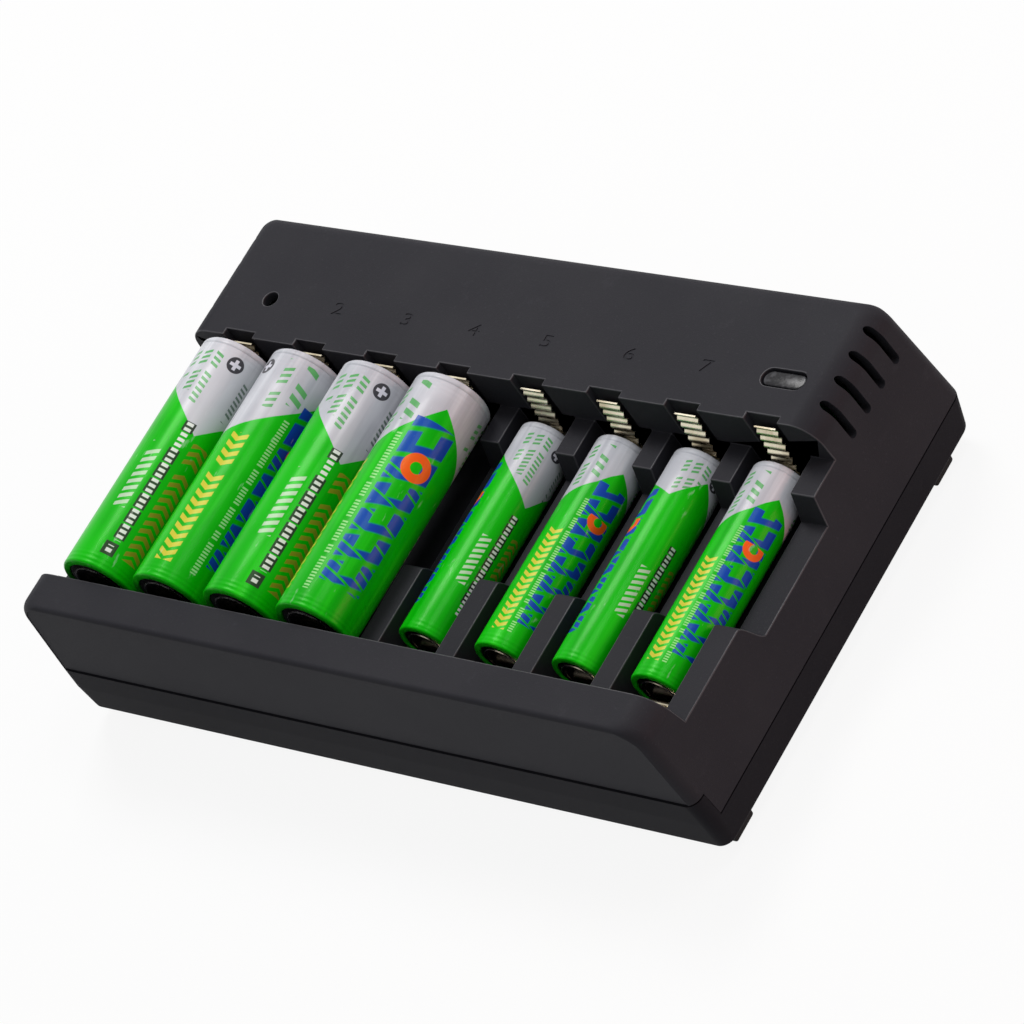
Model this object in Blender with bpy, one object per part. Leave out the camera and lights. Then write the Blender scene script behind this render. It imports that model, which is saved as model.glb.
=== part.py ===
"""Eight-bay charger with four AA cells and four AAA cells lying in its bays.

Lengths are in metres and +Z is up. The front lip faces -Y and the head with its deck lies at +Y.
The origin is on the surface that the feet stand on, under the middle of the case. Distances
along the depth are written from the front of the case, and from_front() turns them into Y.
"""
import math

import bmesh
import bpy
from mathutils import Matrix, Vector

MM = 0.001

# Clearance between neighbouring pieces
GAP = 0.3 * MM

# Cells: radius, length of the can, radius and height of the positive button,
# opening of the sleeve at the negative end and at the positive end
AA_CELL = dict(radius=7.2 * MM, length=49.1 * MM, button=2.75 * MM, rise=1.4 * MM,
               open_minus=5.9 * MM, open_plus=5.2 * MM, sides=24)
AAA_CELL = dict(radius=5.2 * MM, length=43.4 * MM, button=1.9 * MM, rise=0.9 * MM,
                open_minus=4.1 * MM, open_plus=3.6 * MM, sides=20)
SLEEVE = 0.3 * MM
SLEEVE_SOFT = 0.5 * MM

# Row of bays: the pitch follows the wider cell and the channels the narrower one
BAYS = 8
AA_BAYS = 4
AA_SPACING = 2.2 * MM
AAA_SIDE_ROOM = 1.0 * MM
END_MARGIN = 5.6 * MM
BAY_SHIFT = 1.0 * MM
PITCH = 2 * AA_CELL["radius"] + AA_SPACING
CHANNEL_WIDTH = 2 * (AAA_CELL["radius"] + AAA_SIDE_ROOM)
RIB = PITCH - CHANNEL_WIDTH
CASE_WIDTH = BAYS * PITCH + 2 * END_MARGIN

# Heights
FOOT_DROP = 3.0 * MM
SIDE_SEAM = 9.8 * MM
FRONT_SEAM = 15.0 * MM
CHANNEL_FLOOR = 16.7 * MM
SADDLE = CHANNEL_FLOOR + 3.6 * MM
RIB_TOP = CHANNEL_FLOOR + 9.3 * MM
CASE_TOP = RIB_TOP + 8.1 * MM
LEAF_TOP = CHANNEL_FLOOR + 4.6 * MM
AA_REST = 0.54 * MM
AA_ABOVE_LEAF = 1.0 * MM
AA_CHORD = math.sqrt(max(AA_CELL["radius"] ** 2 - (CHANNEL_WIDTH / 2) ** 2, 0.0))
AA_AXIS = max(RIB_TOP + AA_CHORD + AA_REST, LEAF_TOP + AA_CELL["radius"] + AA_ABOVE_LEAF)
AAA_AXIS = CHANNEL_FLOOR + GAP + AAA_CELL["radius"]

# Places along the depth, from the front of the case
LIP_INNER = 7.7 * MM
LIP_FOOT = 9.1 * MM
LIP_CORE = 5.1 * MM
AA_START = LIP_INNER + 1.7 * MM
AAA_START = AA_START + 5.5 * MM
AA_STRIP_FOOT = AA_START + AA_CELL["length"] + AA_CELL["rise"] - 0.4 * MM
AAA_STRIP_FOOT = AAA_START + AAA_CELL["length"] + AAA_CELL["rise"] + GAP
STRIP_LEAN = 1.65 * MM
DECK_FRONT = max(AA_STRIP_FOOT, AAA_STRIP_FOOT) + 1.4 * MM
DECK_DEPTH = 27.5 * MM
CASE_DEPTH = DECK_FRONT + DECK_DEPTH
HEAD_CORE = DECK_FRONT + 3.1 * MM
MARK_ROW = DECK_FRONT + 8.6 * MM
FRONT_RISE_END = AAA_START + 11.9 * MM
SADDLE_START = AAA_START + 15.5 * MM
BLOCK_START = DECK_FRONT - 7.5 * MM
SADDLE_END = BLOCK_START - 1.5 * MM

# Skin of the case
SEAM_STEP = 2.9 * MM
WALL = 2.0 * MM
BASE_WALL = 2.6 * MM
SIDE_DRAFT = 2.7 * MM
FRONT_DRAFT = 0.4 * MM
REAR_DRAFT = 1.2 * MM
BASE_TUCK = 0.3 * MM
BASE_REAR_TUCK = 1.6 * MM
SIDE_ROUND = 4.5 * MM
REAR_ROUND = 2.6 * MM
FRONT_ROUND = 0.9 * MM
BASE_ROUND = 0.8 * MM
CORNER_ROUND = 2.4 * MM
CORNER_ROUND_LEAST = 0.6 * MM
CORNER_STEPS = 6
CURVE_STEPS = 8
TONGUE_INSET = 2.3 * MM
TONGUE_THICK = 1.0 * MM
TONGUE_RISE = 1.6 * MM
TONGUE_ENDS = 12.0 * MM
RIB_CORE_WIDTH = 0.43 * RIB
RIB_CORE_TOP = CHANNEL_FLOOR + 1.8 * MM
RIB_CORE_START = LIP_INNER + 4.3 * MM
RIB_CORE_END = DECK_FRONT - 1.9 * MM
REACH = 2 * CASE_WIDTH

# Numbers of sides and steps on small round shapes
ROD_SIDES = 12
BOSS_SIDES = 16
HOLE_SIDES = 20
SLOT_STEPS = 8
VENT_STEPS = 6
INLET_STEPS = 4

# Deck features
NOTCH_WIDTH = 6.8 * MM
NOTCH_DEPTH = 1.3 * MM
LAMP_HOLE = 3.0 * MM
LAMP_HOLE_OFFSET = 2.2 * MM
WINDOW_LENGTH = 8.5 * MM
WINDOW_WIDTH = 3.0 * MM
WINDOW_THICK = 1.0 * MM
WINDOW_LEDGE = 0.9 * MM
WINDOW_SETBACK = 0.3 * MM

# Vents over the head's rounded ends
VENTS = 4
VENT_FIRST = DECK_FRONT + 5.8 * MM
VENT_ENDS = 12.2 * MM
VENT_PITCH = (DECK_DEPTH - VENT_ENDS) / (VENTS - 1)
VENT_WIDTH = 1.7 * MM
VENT_BOTTOM = CASE_TOP - 9.4 * MM
VENT_TOP = CASE_TOP - 0.9 * MM
VENT_REACH = 9.0 * MM

# Contacts, folded from one sheet thickness
SHEET = 0.3 * MM
CONTACT_WIDTH = 4.4 * MM
SLOT_WIDTH = 5.2 * MM
STRIP_START = CHANNEL_FLOOR + 1.4 * MM
STRIP_END = CASE_TOP - 1.9 * MM
CREST_COUNT = 9
CREST_DEPTH = 0.7 * MM
STRIP_SLOT = 2.0 * MM
LEAF_TAIL = AAA_START - 0.6 * MM
LEAF_FACE = AAA_START - GAP - SHEET / 2
LEAF_FOLD = 0.55 * MM
LEAF_KNEE = 1.65 * MM
LEAF_RUN = CHANNEL_FLOOR + 1.2 * MM
LEAF_HINGE = CHANNEL_FLOOR - 2.8 * MM
LEAF_SLOT = 1.7 * MM
PLATE_FACE = AA_START - GAP - SHEET / 2
PLATE_TOP = CASE_TOP - 3.0 * MM
PLATE_CURL = 0.7 * MM
POCKET_WIDTH = 6.0 * MM
POCKET_DEPTH = 1.0 * MM
POCKET_BOTTOM = CASE_TOP - 10.8 * MM
POCKET_TOP = CASE_TOP - 1.2 * MM

# Boards
BOARD_THICK = 1.6 * MM
BOARD_UNDER = CHANNEL_FLOOR - 7.5 * MM
BOARD_SEAT = BOARD_UNDER + BOARD_THICK + GAP
BOARD_MARGIN = 10.0 * MM
BOARD_FRONT = 7.0 * MM
BOARD_REAR = CASE_DEPTH - 3.8 * MM
LAMP_BOARD_UNDER = CASE_TOP - 7.8 * MM
LAMP_BOARD_MARGIN = 11.0 * MM
LAMP_BOARD_DEPTH = 6.0 * MM
LAMP_RADIUS = 1.5 * MM
LAMP_HEIGHT = 3.6 * MM
LAMP_SIDES = 14
PEG_RADIUS = 2.0 * MM
PEG_PIN_RADIUS = 0.9 * MM
PEG_PIN_BELOW = 0.6 * MM
PEG_BAYS = (2, 4, 6)

# Supply inlet in the rear wall
INLET_X = 32.0 * MM - CASE_WIDTH / 2
INLET_Z = 18.9 * MM
INLET_WIDTH = 17.6 * MM
INLET_HEIGHT = 10.4 * MM
INLET_ROUND = 3.0 * MM
INLET_FRONT = CASE_DEPTH - 14.4 * MM
INLET_REAR = CASE_DEPTH - 0.7 * MM
INLET_FLANGE = 1.2 * MM
INLET_FLANGE_START = CASE_DEPTH - 5.8 * MM
INLET_FLANGE_END = CASE_DEPTH - 2.8 * MM
SOCKET_WIDTH = INLET_WIDTH - 2.2 * MM
SOCKET_HEIGHT = INLET_HEIGHT - 2.0 * MM
SOCKET_DEPTH = 10.0 * MM
PIN_RADIUS = 1.2 * MM
PIN_SPACING = 8.6 * MM
PIN_START = INLET_FRONT - 2.5 * MM
PIN_END = INLET_REAR - 1.5 * MM
PIN_SIDES = 16

# Pieces on the main board, under the deck
BOARD_ROOM = LAMP_BOARD_UNDER - BOARD_SEAT
HEAD_ROOM = BOARD_REAR - HEAD_CORE
HEAD_MIDDLE = (BOARD_REAR + HEAD_CORE) / 2
COIL_SIZE = (19.0 * MM, 12.0 * MM, BOARD_ROOM - 1.6 * MM)
CORE_SIZE = (13.0 * MM, HEAD_ROOM - 3.6 * MM, BOARD_ROOM - 5.6 * MM)
COIL_X = 12.0 * MM
CAN_RADIUS = 5.0 * MM
CAN_HEIGHT = BOARD_ROOM - 1.0 * MM
CAN_X = -12.0 * MM
SINK_SIZE = (1.5 * MM, HEAD_ROOM - 5.6 * MM, BOARD_ROOM - 2.2 * MM)
SINK_FOOT = 6.0 * MM
SINK_X = COIL_X + 24.0 * MM

# Screws, their bosses and the posts under the main board
BOSS_PLACES = ((CASE_WIDTH / 2 - 7.6 * MM, 20.0 * MM), (CASE_WIDTH / 2 - 17.0 * MM, CASE_DEPTH - 9.4 * MM))
BOSS_RADIUS = 2.6 * MM
BOSS_FOOT = BOARD_UNDER - GAP
BOSS_PILOT = CHANNEL_FLOOR - 2.2 * MM
POST_RADIUS = 3.2 * MM
SCREW_RADIUS = 1.0 * MM
SCREW_TOP = BOSS_PILOT - 0.8 * MM
HEAD_RADIUS = 2.2 * MM
HEAD_HEIGHT = 1.1 * MM
HEAD_SEAT = 4.8 * MM
SCREW_SIDES = 16
STANDOFF_RADIUS = 1.8 * MM
STANDOFF_PLACES = (
    (22.0 * MM - CASE_WIDTH / 2, 33.0 * MM),
    (CASE_WIDTH / 2 - 22.0 * MM, 33.0 * MM),
    (INLET_X + 20.0 * MM, CASE_DEPTH - 10.4 * MM),
    (CASE_WIDTH / 2 - 16.0 * MM, DECK_FRONT + 1.1 * MM),
)

# Rubber feet
FOOT_WIDTH = 7.0 * MM
FOOT_LENGTH = 6.0 * MM
FOOT_X = CASE_WIDTH / 2 - 5.2 * MM
FOOT_PLACES = {"front": 6.0 * MM, "rear": CASE_DEPTH - 10.8 * MM}
FOOT_RECESS = 1.0 * MM
FOOT_TAPER = 0.4 * MM
FOOT_BEVEL = 0.7 * MM

# Colours (linear) with roughness and metallic value
LOOKS = {
    "case_black": ((0.050, 0.050, 0.056), 0.62, 0.0),
    "base_black": ((0.040, 0.040, 0.045), 0.62, 0.0),
    "foot_rubber": ((0.018, 0.018, 0.019), 0.85, 0.0),
    "contact_nickel": ((0.80, 0.74, 0.60), 0.25, 1.0),
    "cell_steel": ((0.60, 0.60, 0.63), 0.30, 1.0),
    "cell_sleeve": ((0.06, 0.60, 0.05), 0.28, 0.0),
    "board_green": ((0.02, 0.16, 0.06), 0.55, 0.0),
    "lamp_resin": ((0.30, 0.32, 0.30), 0.20, 0.0),
    "window_clear": ((0.55, 0.57, 0.58), 0.15, 0.0),
    "inlet_plastic": ((0.020, 0.020, 0.021), 0.50, 0.0),
    "pin_brass": ((0.78, 0.72, 0.55), 0.25, 1.0),
    "screw_zinc": ((0.55, 0.55, 0.56), 0.35, 1.0),
    "coil_tape": ((0.62, 0.45, 0.06), 0.45, 0.0),
    "can_sleeve": ((0.03, 0.04, 0.10), 0.35, 0.0),
    "sink_aluminium": ((0.70, 0.71, 0.72), 0.40, 1.0),
}


def clear_scene():
    for item in list(bpy.data.objects):
        bpy.data.objects.remove(item, do_unlink=True)


def from_front(distance):
    """Y of a point that lies this far behind the front of the case."""
    return distance - CASE_DEPTH / 2


def bay_x(bay):
    """X of a bay's middle, for bays 1 to 8 from the left."""
    return BAY_SHIFT + (bay - (BAYS + 1) / 2) * PITCH


def between_bays(bay):
    """X of the middle of the rib after a bay."""
    return (bay_x(bay) + bay_x(bay + 1)) / 2


def lamp_x(bay):
    """X of a bay's lamp. The first bay's lamp stands under its hole, to one side of the bay's middle."""
    return bay_x(bay) + (LAMP_HOLE_OFFSET if bay == 1 else 0.0)


def strip_foot(bay):
    """Where a bay's positive strip rises from its floor, behind the end of its cell."""
    return AA_STRIP_FOOT if bay <= AA_BAYS else AAA_STRIP_FOOT


def material(name):
    found = bpy.data.materials.get(name)
    if found:
        return found
    colour, roughness, metallic = LOOKS[name]
    made = bpy.data.materials.new(name)
    made.use_nodes = True
    shader = made.node_tree.nodes["Principled BSDF"]
    shader.inputs["Base Color"].default_value = (*colour, 1.0)
    shader.inputs["Roughness"].default_value = roughness
    shader.inputs["Metallic"].default_value = metallic
    made.diffuse_color = (*colour, 1.0)
    return made


def add_object(name, bm, look=None, origin=(0.0, 0.0, 0.0), smooth=False):
    """Closes a bmesh into a named object whose origin is the given point."""
    bmesh.ops.recalc_face_normals(bm, faces=bm.faces)
    bmesh.ops.translate(bm, verts=bm.verts, vec=-Vector(origin))
    mesh = bpy.data.meshes.new(name)
    bm.to_mesh(mesh)
    bm.free()
    item = bpy.data.objects.new(name, mesh)
    item.location = origin
    bpy.context.collection.objects.link(item)
    if look:
        mesh.materials.append(material(look))
    if smooth:
        mesh.shade_smooth()
        mesh.set_sharp_from_angle(angle=math.radians(35))
    return item


def combine(item, tool_bm, operation):
    """Applies one exact boolean with a tool given as a bmesh, and removes the tool."""
    tool = add_object("tool", tool_bm)
    tool.hide_render = True
    tool.display_type = "WIRE"
    modifier = item.modifiers.new("boolean", "BOOLEAN")
    modifier.operation = operation
    modifier.solver = "EXACT"
    modifier.object = tool
    bpy.context.view_layer.update()
    result = bpy.data.meshes.new_from_object(item.evaluated_get(bpy.context.evaluated_depsgraph_get()))
    item.modifiers.clear()
    old = item.data
    item.data = result
    bpy.data.meshes.remove(old)
    bpy.data.objects.remove(tool, do_unlink=True)


def cut(item, tool_bm):
    combine(item, tool_bm, "DIFFERENCE")


def join(item, tool_bm):
    combine(item, tool_bm, "UNION")


def box_into(bm, low, high):
    """Adds an axis-aligned box between two corners."""
    size = [b - a for a, b in zip(low, high)]
    centre = [(a + b) / 2 for a, b in zip(low, high)]
    matrix = Matrix.Translation(centre) @ Matrix.Diagonal((*size, 1.0))
    bmesh.ops.create_cube(bm, size=1.0, matrix=matrix)


def boxes(*corners):
    bm = bmesh.new()
    for low, high in corners:
        box_into(bm, low, high)
    return bm


def rod_into(bm, centre, radius, low, high, sides):
    """Adds an upright cylinder between two heights."""
    x, y = centre
    matrix = Matrix.Translation((x, y, (low + high) / 2))
    bmesh.ops.create_cone(bm, cap_ends=True, segments=sides, radius1=radius, radius2=radius,
                          depth=high - low, matrix=matrix)


def prism_x_into(bm, outline, x_low, x_high):
    """Adds a (Y, Z) outline pushed through from one X to another."""
    near = [bm.verts.new((x_low, y, z)) for y, z in outline]
    face = bm.faces.new(near)
    pushed = bmesh.ops.extrude_face_region(bm, geom=[face])
    far = [v for v in pushed["geom"] if isinstance(v, bmesh.types.BMVert)]
    bmesh.ops.translate(bm, verts=far, vec=(x_high - x_low, 0, 0))


def prism_x(outline, x_low, x_high):
    bm = bmesh.new()
    prism_x_into(bm, outline, x_low, x_high)
    return bm


def stadium(width, height, steps):
    """Points of a slot with round ends, its length along the first axis."""
    radius = height / 2
    reach = width / 2 - radius
    points = []
    for side in (1, -1):
        for i in range(steps + 1):
            angle = -math.pi / 2 + math.pi * i / steps
            points.append((side * (reach + radius * math.cos(angle)), side * radius * math.sin(angle)))
    return points


def rounded_box_points(width, height, radius, steps):
    """Points of a rectangle with round corners about the origin."""
    points = []
    for sx, sy, start in ((1, -1, -90), (1, 1, 0), (-1, 1, 90), (-1, -1, 180)):
        cx = sx * (width / 2 - radius)
        cy = sy * (height / 2 - radius)
        for i in range(steps + 1):
            angle = math.radians(start + 90 * i / steps)
            points.append((cx + radius * math.cos(angle), cy + radius * math.sin(angle)))
    return points


def push_outline(bm, points, centre, axis, low, high):
    """Adds an outline about a centre, pushed along Y or Z from low to high."""
    a, b = centre
    if axis == "Y":
        near = [bm.verts.new((a + u, low, b + v)) for u, v in points]
        shift = (0, high - low, 0)
    else:
        near = [bm.verts.new((a + u, b + v, low)) for u, v in points]
        shift = (0, 0, high - low)
    face = bm.faces.new(near)
    pushed = bmesh.ops.extrude_face_region(bm, geom=[face])
    far = [v for v in pushed["geom"] if isinstance(v, bmesh.types.BMVert)]
    bmesh.ops.translate(bm, verts=far, vec=shift)


def turned_into(bm, profile, sides, place, looped):
    """Spins (radius, along) points into a solid; place maps (radial u, radial v, along) to XYZ.

    A looped profile closes on itself, as a tube's does. Any other begins and ends on the axis.
    """
    rings = []
    for radius, along in profile:
        if radius == 0:
            rings.append([bm.verts.new(place(0.0, 0.0, along))])
            continue
        ring = []
        for i in range(sides):
            angle = 2 * math.pi * i / sides
            ring.append(bm.verts.new(place(radius * math.cos(angle), radius * math.sin(angle), along)))
        rings.append(ring)
    pairs = list(zip(rings, rings[1:]))
    if looped:
        pairs.append((rings[-1], rings[0]))
    for first, second in pairs:
        for i in range(sides):
            j = (i + 1) % sides
            if len(first) == 1:
                bm.faces.new((first[0], second[i], second[j]))
            elif len(second) == 1:
                bm.faces.new((first[i], second[0], first[j]))
            else:
                bm.faces.new((first[i], second[i], second[j], first[j]))


def ribbon(path, thickness):
    """Outline of a folded sheet that follows a path of (Y, Z) points."""
    left = []
    right = []
    for i, point in enumerate(path):
        here = Vector(point)
        ahead = (Vector(path[min(i + 1, len(path) - 1)]) - here)
        behind = (here - Vector(path[max(i - 1, 0)]))
        ahead = ahead.normalized() if ahead.length else behind.normalized()
        behind = behind.normalized() if behind.length else ahead
        middle = (ahead + behind).normalized()
        normal = Vector((-middle.y, middle.x))
        reach = thickness / 2 / max(middle.dot(ahead), 0.5)
        left.append(tuple(here + normal * reach))
        right.append(tuple(here - normal * reach))
    return left + right[::-1]


def rounding_inset(radius, top, z):
    """How far a rounded top edge has drawn in at a height."""
    rise = z - (top - radius)
    if rise <= 0 or radius <= 0:
        return 0.0
    return radius - math.sqrt(max(radius ** 2 - rise ** 2, 0.0))


def blend(start, end, share):
    return start + (end - start) * min(max(share, 0.0), 1.0)


def skin_ring(z, inset):
    """The case's outline at one height, moved inward by an inset."""
    base = FOOT_DROP
    below = (z - base) / (SIDE_SEAM - base)
    above = (z - SIDE_SEAM) / (CASE_TOP - SIDE_SEAM)
    front_above = (z - FRONT_SEAM) / (CASE_TOP - FRONT_SEAM)
    tuck = blend(BASE_TUCK, 0.0, below)
    if z < base + BASE_ROUND and inset == 0:
        drop = base + BASE_ROUND - z
        tuck += BASE_ROUND - math.sqrt(max(BASE_ROUND ** 2 - drop ** 2, 0.0))
    top = CASE_TOP - inset
    half = CASE_WIDTH / 2 - tuck - blend(0.0, SIDE_DRAFT, above) - inset
    half -= rounding_inset(SIDE_ROUND - inset, top, z)
    front = tuck + blend(0.0, FRONT_DRAFT, front_above) + inset
    front += rounding_inset(max(FRONT_ROUND - inset, 0.0), top, z)
    rear = CASE_DEPTH - tuck - blend(BASE_REAR_TUCK, 0.0, below) - blend(0.0, REAR_DRAFT, above) - inset
    rear -= rounding_inset(REAR_ROUND - inset, top, z)
    radius = max(CORNER_ROUND - inset, CORNER_ROUND_LEAST)
    middle = from_front((front + rear) / 2)
    points = rounded_box_points(2 * half, rear - front, radius, CORNER_STEPS)
    return [(x, middle + y, z) for x, y in points]


def skin_solid(low, high, inset):
    """Solid inside the case's skin between two heights."""
    levels = [low, high]
    if inset == 0:
        levels += [low + BASE_ROUND * (1 - math.cos(math.radians(a))) for a in (25, 45, 65, 90)]
    levels += [z for z in (SIDE_SEAM, FRONT_SEAM) if low < z < high]
    radius = SIDE_ROUND - inset
    for degrees in (0, 20, 38, 54, 68, 80):
        z = CASE_TOP - inset - radius + radius * math.sin(math.radians(degrees))
        if low < z < high:
            levels.append(z)
    bm = bmesh.new()
    rings = [[bm.verts.new(p) for p in skin_ring(z, inset)] for z in sorted(levels)]
    count = len(rings[0])
    for lower, upper in zip(rings, rings[1:]):
        for i in range(count):
            j = (i + 1) % count
            bm.faces.new((lower[i], lower[j], upper[j], upper[i]))
    bm.faces.new(rings[0][::-1])
    bm.faces.new(rings[-1])
    return bm


def seam_outline(offset, top):
    """(Y, Z) region above or below the stepped seam, with the seam moved by an offset."""
    end = REACH if top else -REACH
    step = from_front(SEAM_STEP) + offset
    return [(-REACH, FRONT_SEAM + offset), (step, FRONT_SEAM + offset), (step, SIDE_SEAM + offset),
            (REACH, SIDE_SEAM + offset), (REACH, end), (-REACH, end)]


def s_curve(start, end):
    """Points of a soft step from one (along, height) to another."""
    points = []
    for i in range(CURVE_STEPS + 1):
        share = i / CURVE_STEPS
        ease = (1 - math.cos(math.pi * share)) / 2
        points.append((blend(start[0], end[0], share), blend(start[1], end[1], ease)))
    return points


def bay_profile():
    """(Y, Z) outline of what is open above the ribs, between the lip and the head."""
    line = [(LIP_INNER, REACH), (LIP_INNER, CASE_TOP), (LIP_FOOT, RIB_TOP)]
    line += s_curve((FRONT_RISE_END, RIB_TOP), (SADDLE_START, SADDLE))
    line += [(SADDLE_END, SADDLE), (BLOCK_START, RIB_TOP), (DECK_FRONT, RIB_TOP), (DECK_FRONT, REACH)]
    return [(from_front(y), z) for y, z in line]


def core_profile():
    """(Y, Z) outline of the hollow under the lip, the bays and the deck."""
    under = CHANNEL_FLOOR - WALL
    line = [(-REACH, -REACH), (-REACH, REACH), (LIP_CORE, REACH), (LIP_CORE, under), (HEAD_CORE, under),
            (HEAD_CORE, REACH), (CASE_DEPTH + REACH, REACH), (CASE_DEPTH + REACH, -REACH)]
    return [(from_front(y), z) for y, z in line]


def boss_centres():
    for x, y in BOSS_PLACES:
        for side in (-1, 1):
            yield side * x, from_front(y)


def core_solid():
    """The upper case's hollow, bounded by its wall."""
    core = add_object("core", skin_solid(0.0, CASE_TOP - WALL, WALL))
    combine(core, prism_x(core_profile(), -REACH, REACH), "INTERSECT")
    bm = bmesh.new()
    bm.from_mesh(core.data)
    bpy.data.objects.remove(core, do_unlink=True)
    return bm


def channel_tools():
    """Channels between the ribs, the strips' grooves with their notches, and the lip's pockets."""
    channels = bmesh.new()
    grooves = bmesh.new()
    pockets = bmesh.new()
    for bay in range(1, BAYS + 1):
        x = bay_x(bay)
        box_into(channels, (x - CHANNEL_WIDTH / 2, from_front(LIP_INNER), CHANNEL_FLOOR),
                 (x + CHANNEL_WIDTH / 2, from_front(DECK_FRONT), CASE_TOP + WALL))
        box_into(grooves, (x - NOTCH_WIDTH / 2, from_front(DECK_FRONT - WALL), CHANNEL_FLOOR + GAP),
                 (x + NOTCH_WIDTH / 2, from_front(DECK_FRONT + NOTCH_DEPTH), CASE_TOP + WALL))
        box_into(pockets, (x - POCKET_WIDTH / 2, from_front(LIP_INNER - POCKET_DEPTH), POCKET_BOTTOM),
                 (x + POCKET_WIDTH / 2, from_front(LIP_INNER + WALL), POCKET_TOP))
    return channels, grooves, pockets


def contact_slots():
    """Slots in the channel floors that the contacts' tails pass through."""
    bm = bmesh.new()
    for bay in range(1, BAYS + 1):
        x = bay_x(bay)
        for middle, depth in ((strip_foot(bay), STRIP_SLOT), (LEAF_TAIL, LEAF_SLOT)):
            box_into(bm, (x - SLOT_WIDTH / 2, from_front(middle - depth / 2), CHANNEL_FLOOR - 2 * WALL),
                     (x + SLOT_WIDTH / 2, from_front(middle + depth / 2), CHANNEL_FLOOR + WALL))
    return bm


def rib_cores():
    """Hollows that keep the ribs between the bays from being thick."""
    bm = bmesh.new()
    for rib in range(1, BAYS):
        x = between_bays(rib)
        box_into(bm, (x - RIB_CORE_WIDTH / 2, from_front(RIB_CORE_START), SIDE_SEAM),
                 (x + RIB_CORE_WIDTH / 2, from_front(RIB_CORE_END), RIB_CORE_TOP))
    return bm


def vent_tools():
    """Slots with round ends, cut inward from both sides of the head."""
    bm = bmesh.new()
    middle = (VENT_BOTTOM + VENT_TOP) / 2
    outline = [(y, z) for z, y in stadium(VENT_TOP - VENT_BOTTOM, VENT_WIDTH, VENT_STEPS)]
    for side in (-1, 1):
        inner = side * (CASE_WIDTH / 2 - VENT_REACH)
        for vent in range(VENTS):
            y = from_front(VENT_FIRST + vent * VENT_PITCH)
            points = [(y + a, middle + b) for a, b in outline]
            prism_x_into(bm, points, min(inner, side * REACH), max(inner, side * REACH))
    return bm


def deck_openings():
    """The first bay's lamp hole and the last bay's window with its ledge."""
    y = from_front(MARK_ROW)
    hole = bmesh.new()
    rod_into(hole, (lamp_x(1), y), LAMP_HOLE / 2, CASE_TOP - 2 * WALL, CASE_TOP + WALL, HOLE_SIDES)
    window = bmesh.new()
    push_outline(window, stadium(WINDOW_LENGTH + 2 * GAP, WINDOW_WIDTH + 2 * GAP, SLOT_STEPS), (bay_x(BAYS), y),
                 "Z", CASE_TOP - WINDOW_SETBACK - WINDOW_THICK - GAP, CASE_TOP + WALL)
    ledge = bmesh.new()
    push_outline(ledge, stadium(WINDOW_LENGTH - 2 * WINDOW_LEDGE, WINDOW_WIDTH - WINDOW_LEDGE, SLOT_STEPS),
                 (bay_x(BAYS), y), "Z", CASE_TOP - 2 * WALL, CASE_TOP - WINDOW_SETBACK - WINDOW_THICK)
    return hole, window, ledge


def lamp_pegs():
    """Pegs under the deck that hold the lamp board, with pins through it."""
    pegs = bmesh.new()
    pins = bmesh.new()
    y = from_front(MARK_ROW)
    seat = LAMP_BOARD_UNDER + BOARD_THICK + GAP
    for bay in PEG_BAYS:
        centre = (between_bays(bay), y)
        rod_into(pegs, centre, PEG_RADIUS, seat, CASE_TOP - WALL / 2, ROD_SIDES)
        rod_into(pins, centre, PEG_PIN_RADIUS, LAMP_BOARD_UNDER - PEG_PIN_BELOW, seat + WALL / 2, ROD_SIDES)
    return pegs, pins


def build_upper_case():
    item = add_object("upper_case", skin_solid(FOOT_DROP, CASE_TOP, 0.0), "case_black")
    combine(item, prism_x(seam_outline(GAP / 2, True), -REACH, REACH), "INTERSECT")
    cut(item, prism_x(bay_profile(), -REACH, REACH))
    for tool in channel_tools():
        cut(item, tool)
    cut(item, core_solid())
    cut(item, contact_slots())
    cut(item, rib_cores())
    for x, y in boss_centres():
        roof = CHANNEL_FLOOR - WALL / 2 if y < from_front(DECK_FRONT) else CASE_TOP - WALL / 2
        boss = bmesh.new()
        rod_into(boss, (x, y), BOSS_RADIUS, BOSS_FOOT, roof, BOSS_SIDES)
        join(item, boss)
    for peg in lamp_pegs():
        join(item, peg)
    pilots = bmesh.new()
    for centre in boss_centres():
        rod_into(pilots, centre, SCREW_RADIUS + GAP, BOSS_FOOT - WALL, BOSS_PILOT, ROD_SIDES)
    cut(item, pilots)
    cut(item, vent_tools())
    for tool in deck_openings():
        cut(item, tool)
    cut(item, inlet_hole())
    return item


def inlet_hole():
    bm = bmesh.new()
    points = rounded_box_points(INLET_WIDTH + 2 * GAP, INLET_HEIGHT + 2 * GAP, INLET_ROUND + GAP, INLET_STEPS)
    push_outline(bm, points, (INLET_X, INLET_Z), "Y", from_front(INLET_FLANGE_END),
                 from_front(CASE_DEPTH + WALL))
    return bm


def tongue_solid():
    """Upright rim inside the seam along both sides and the rear, which the upper case slips over."""
    outer = add_object("tongue", skin_solid(FOOT_DROP + WALL / 2, SIDE_SEAM + TONGUE_RISE, TONGUE_INSET))
    cut(outer, skin_solid(0.0, CASE_TOP / 2, TONGUE_INSET + TONGUE_THICK))
    keep = boxes(((-REACH, from_front(TONGUE_ENDS), 0.0), (REACH, REACH, CASE_TOP)))
    combine(outer, keep, "INTERSECT")
    bm = bmesh.new()
    bm.from_mesh(outer.data)
    bpy.data.objects.remove(outer, do_unlink=True)
    return bm


def foot_centres():
    for place, y in FOOT_PLACES.items():
        for name, side in (("left", -1), ("right", 1)):
            yield f"foot_{place}_{name}", side * FOOT_X, from_front(y)


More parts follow.
